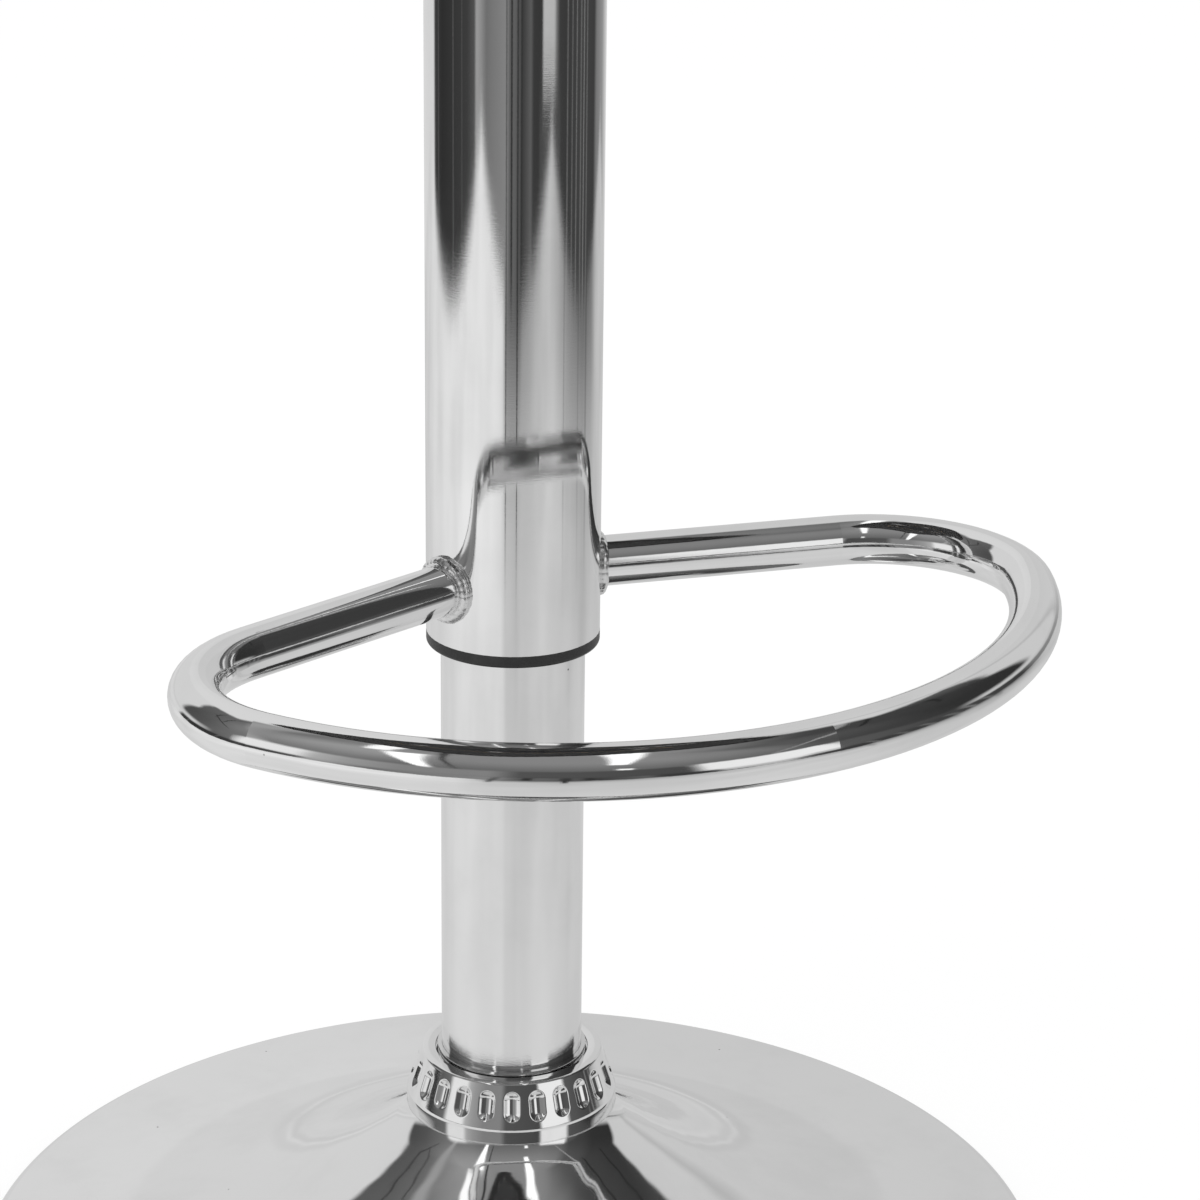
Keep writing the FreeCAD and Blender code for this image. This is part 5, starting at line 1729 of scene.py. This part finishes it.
@dataclass
class WeldBeads:
    """The weld round the root of each footrest leg: overlapping puddles of filler, plated over.

    The bead follows the curve where the leg's tube meets the sleeve. Its radius rises and falls with the
    puddles, as the absolute value of a sine, and with smaller uneven waves.
    """

    palette: Palette
    leg_radius: float = 0.0088
    leg_offset: float = 0.003
    leg_sweep: float = math.radians(14.9)
    bead: float = 0.0026
    lift: float = 0.0004
    puddles: int = 26
    puddle_bend: Span = (0.5, 3.0)
    puddle_power: float = 0.7
    puddle_share: float = 0.05
    least_share: float = 0.94
    uneven_shares: Span = (0.05, 0.03)
    uneven_rates: Span = (3.0, 7.0)
    uneven_phases: Span = (1.3, 2.1)
    ripple_shares: Span = (0.02, 0.012)
    ripple_rates: tuple[Triple, Triple] = ((3.0, 7.0, 0.0), (5.0, -23.0, 0.0))
    steps_round: int = 220
    steps_section: int = 18

    def ring(self, side: int) -> np.ndarray:
        """One bead's points.

        The root curve is where a line on the leg's surface reaches the sleeve: the leg's direction times
        l plus its start, with l the larger root of the circle's equation.

        Args:
            side: 1 for the right leg, -1 for the left.

        Returns:
            An array of steps round, steps of the section and x, y, z.
        """
        sleeve_low, sleeve_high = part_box("sleeve")
        radius = (sleeve_high.x - sleeve_low.x) / 2
        rest_low, rest_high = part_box("footrest")
        level = (rest_low.z + rest_high.z) / 2
        way = full_turn(self.steps_round)
        axis = np.array([side * math.cos(self.leg_sweep), -math.sin(self.leg_sweep), 0.0])
        level_side = np.array([-axis[1], axis[0], 0.0])
        round_leg = np.cos(way)[:, None] * level_side + np.sin(way)[:, None] * np.array([0.0, 0.0, 1.0])
        start = np.array([0.0, self.leg_offset, level]) + self.leg_radius * round_leg
        half = start[:, 0] * axis[0] + start[:, 1] * axis[1]
        rest = start[:, 0] ** 2 + start[:, 1] ** 2 - radius**2
        root = start + (np.sqrt(half**2 - rest) - half)[:, None] * axis
        from_sleeve = unit(root * np.array([1.0, 1.0, 0.0]))
        puddle = np.abs(wandering(way, self.puddles / 2.0, *self.puddle_bend, phase=side))
        phases = (self.uneven_phases[0] * side, self.uneven_phases[1])
        uneven = sum(
            share * np.sin(rate * way + phase)
            for share, rate, phase in zip(self.uneven_shares, self.uneven_rates, phases)
        )
        size = self.bead * (self.least_share + self.puddle_share * puddle**self.puddle_power + uneven)
        turn = full_turn(self.steps_section)
        ripple = 1.0 + sum(
            share * crossed(turn, way[:, None], rates)
            for share, rates in zip(self.ripple_shares, self.ripple_rates)
        )
        reach = (size[:, None] * ripple)[..., None]
        middle = root + self.lift * (from_sleeve + round_leg)
        across = np.cos(turn)[None, :, None] * from_sleeve[:, None, :]
        across += np.sin(turn)[None, :, None] * round_leg[:, None, :]
        return middle[:, None, :] + reach * across

    def build(self) -> None:
        """Makes both beads."""
        right = surface("weld_right", self.ring(1), tube=True)
        left = surface("weld_left", self.ring(-1), tube=True)
        for bead in (right, left):
            fix_normals(bead)
            self.palette.fit(bead, "weld", "chrome", Body.SEAT)
        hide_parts("weld_beads")


@dataclass
class UnderCover:
    """The seat's underside: a fibre sheet cut out round the seat plate, its staples and the vinyl's hem."""

    palette: Palette
    corner: float = 0.045
    hole_gap: float = 0.002
    hole_corner: float = 0.018
    rise: float = 0.0003
    sag: float = 0.0016
    wrinkle: float = 0.0003
    wrinkle_rates: Span = (170.0, 150.0)
    steps: int = 26
    hem_margin: float = 0.0035
    hem_overlap: float = 0.008
    hem_steps: int = 15
    hem_gap: float = 0.0002
    hem_drop: float = 0.0003
    hem_fold: float = 0.0016
    fold_pace: Triple = (190.0, 2.0, 37.0)
    pull_share: float = 0.12
    pull_pace: Triple = (64.0, 1.0, 11.0)
    hang_power: float = 0.7
    fold_place: float = 1.72
    fold_width: float = 0.16
    staple_count: int = 36
    staple_inset: float = 0.007
    staple_half: Triple = (0.0055, 0.0005, 0.0003)
    staple_rise: float = 0.0001
    staple_lean: float = 0.16

    def build(self) -> None:
        """Makes the sheet between its outer edge and its cut-out, sagging as a half sine between them."""
        low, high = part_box("under_cover")
        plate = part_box("seat_plate")[1]
        hole = (plate.x + self.hole_gap, plate.y + self.hole_gap)
        outer = Outline(high.x, high.y, self.corner, SIDE_TURN, 28, 60)
        inner = Outline(*hole, self.hole_corner, 0.0, 28, 60)
        share = np.linspace(0.0, 1.0, self.steps)[:, None, None]
        flat = outer.loop()[None] * (1.0 - share) + inner.loop()[None] * share
        wave = self.wrinkle * np.prod(np.sin(flat * self.wrinkle_rates), axis=-1)
        height = low.z + self.rise - self.sag * np.sin(math.pi * share[..., 0]) ** 2 + wave
        sheet = surface("under_sheet", with_height(flat, height))
        self.palette.fit(sheet, "cover_cloth", "cover_cloth", Body.SEAT)
        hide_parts("under_cover")
        area = loop_area(outer.loop()) - loop_area(inner.loop())
        self.hem(outer)
        self.staples(low.z, outer)

    def hem(self, outer: Outline) -> None:
        """Makes the vinyl's hem, pulled in under the board and held by the fibre sheet.

        It runs from the foot of the seat to inside the sheet's edge. Folds hang from it at the corners, as
        the positive half of a sine of the way round, times how near the place is to a corner.

        Args:
            outer: The fibre sheet's outline.
        """
        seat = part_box("seat_cover")[1]
        rim = Outline(seat.x, seat.y, SEAT_CORNER, SIDE_TURN)
        first = rim.loop(self.hem_margin)
        last = rim.loop(seat.x - outer.half_width + self.hem_overlap)
        share = np.linspace(0.0, 1.0, self.hem_steps)[:, None, None]
        flat = first[None] * (1.0 - share) + last[None] * share
        way = full_turn(len(first))
        cornerness = np.abs(first[:, 0] / rim.half_width) + np.abs(first[:, 1] / rim.half_depth)
        near = bell(cornerness - self.fold_place, self.fold_width)
        folds = np.maximum(wandering(way, *self.fold_pace), 0.0) * near
        pulls = self.pull_share * np.maximum(wandering(way, *self.pull_pace), 0.0)
        inward = share[..., 0]
        hang = np.sin(math.pi * inward) ** self.hang_power * self.hem_fold * (folds + pulls)[None]
        board_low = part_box("seat_board")[0].z
        height = board_low - self.hem_gap - self.hem_drop * np.minimum(inward * 6.0, 1.0) - hang
        hem = surface("turned_hem", with_height(flat, height))
        self.palette.fit(hem, "vinyl", "vinyl", Body.SEAT)

    def staples(self, height: float, outer: Outline) -> None:
        """Makes the staples along the sheet's edge: flat spindles, each turned a little out of line.

        Args:
            height: The fibre sheet's lowest height.
            outer: The fibre sheet's outline.
        """
        loop = outer.loop(self.staple_inset)
        number = np.arange(self.staple_count)
        evenly = number * len(loop) / self.staple_count
        picked = (evenly + 3.0 * np.sin(number * 2.4)).astype(int) % len(loop)
        way = unit(directions(loop)[picked])
        lean = self.staple_lean * np.sin(number * 5.1)
        leaning = np.stack([
            way[:, 0] * np.cos(lean) - way[:, 1] * np.sin(lean),
            way[:, 0] * np.sin(lean) + way[:, 1] * np.cos(lean), np.zeros(len(lean)),
        ], axis=-1)
        down = np.tile([0.0, 0.0, -1.0], (len(number), 1))
        axes = np.stack([leaning, np.cross(down, leaning), down], axis=1)
        axes = axes * np.array(self.staple_half)[:, None]
        places = with_height(loop[picked], np.full(len(number), height + self.staple_rise))
        self.palette.fit(spindles("cover_staples", places, axes), "zinc", "zinc", Body.SEAT)


def main() -> None:
    """Builds the stage, the finishes and the detailed pieces in order."""
    logging.basicConfig(level=logging.INFO, format="%(name)s: %(message)s")
    picture = PictureCamera()
    picture.build()
    toward = Toward(picture.turn)
    Studio(toward, Surroundings(toward)).build()
    palette = Palette()
    palette.dress_nodes()
    for part in (BaseShell, Collar, WeldBeads, SeatPad, UnderCover):
        part(palette).build()


if __name__ == "__main__":
    main()
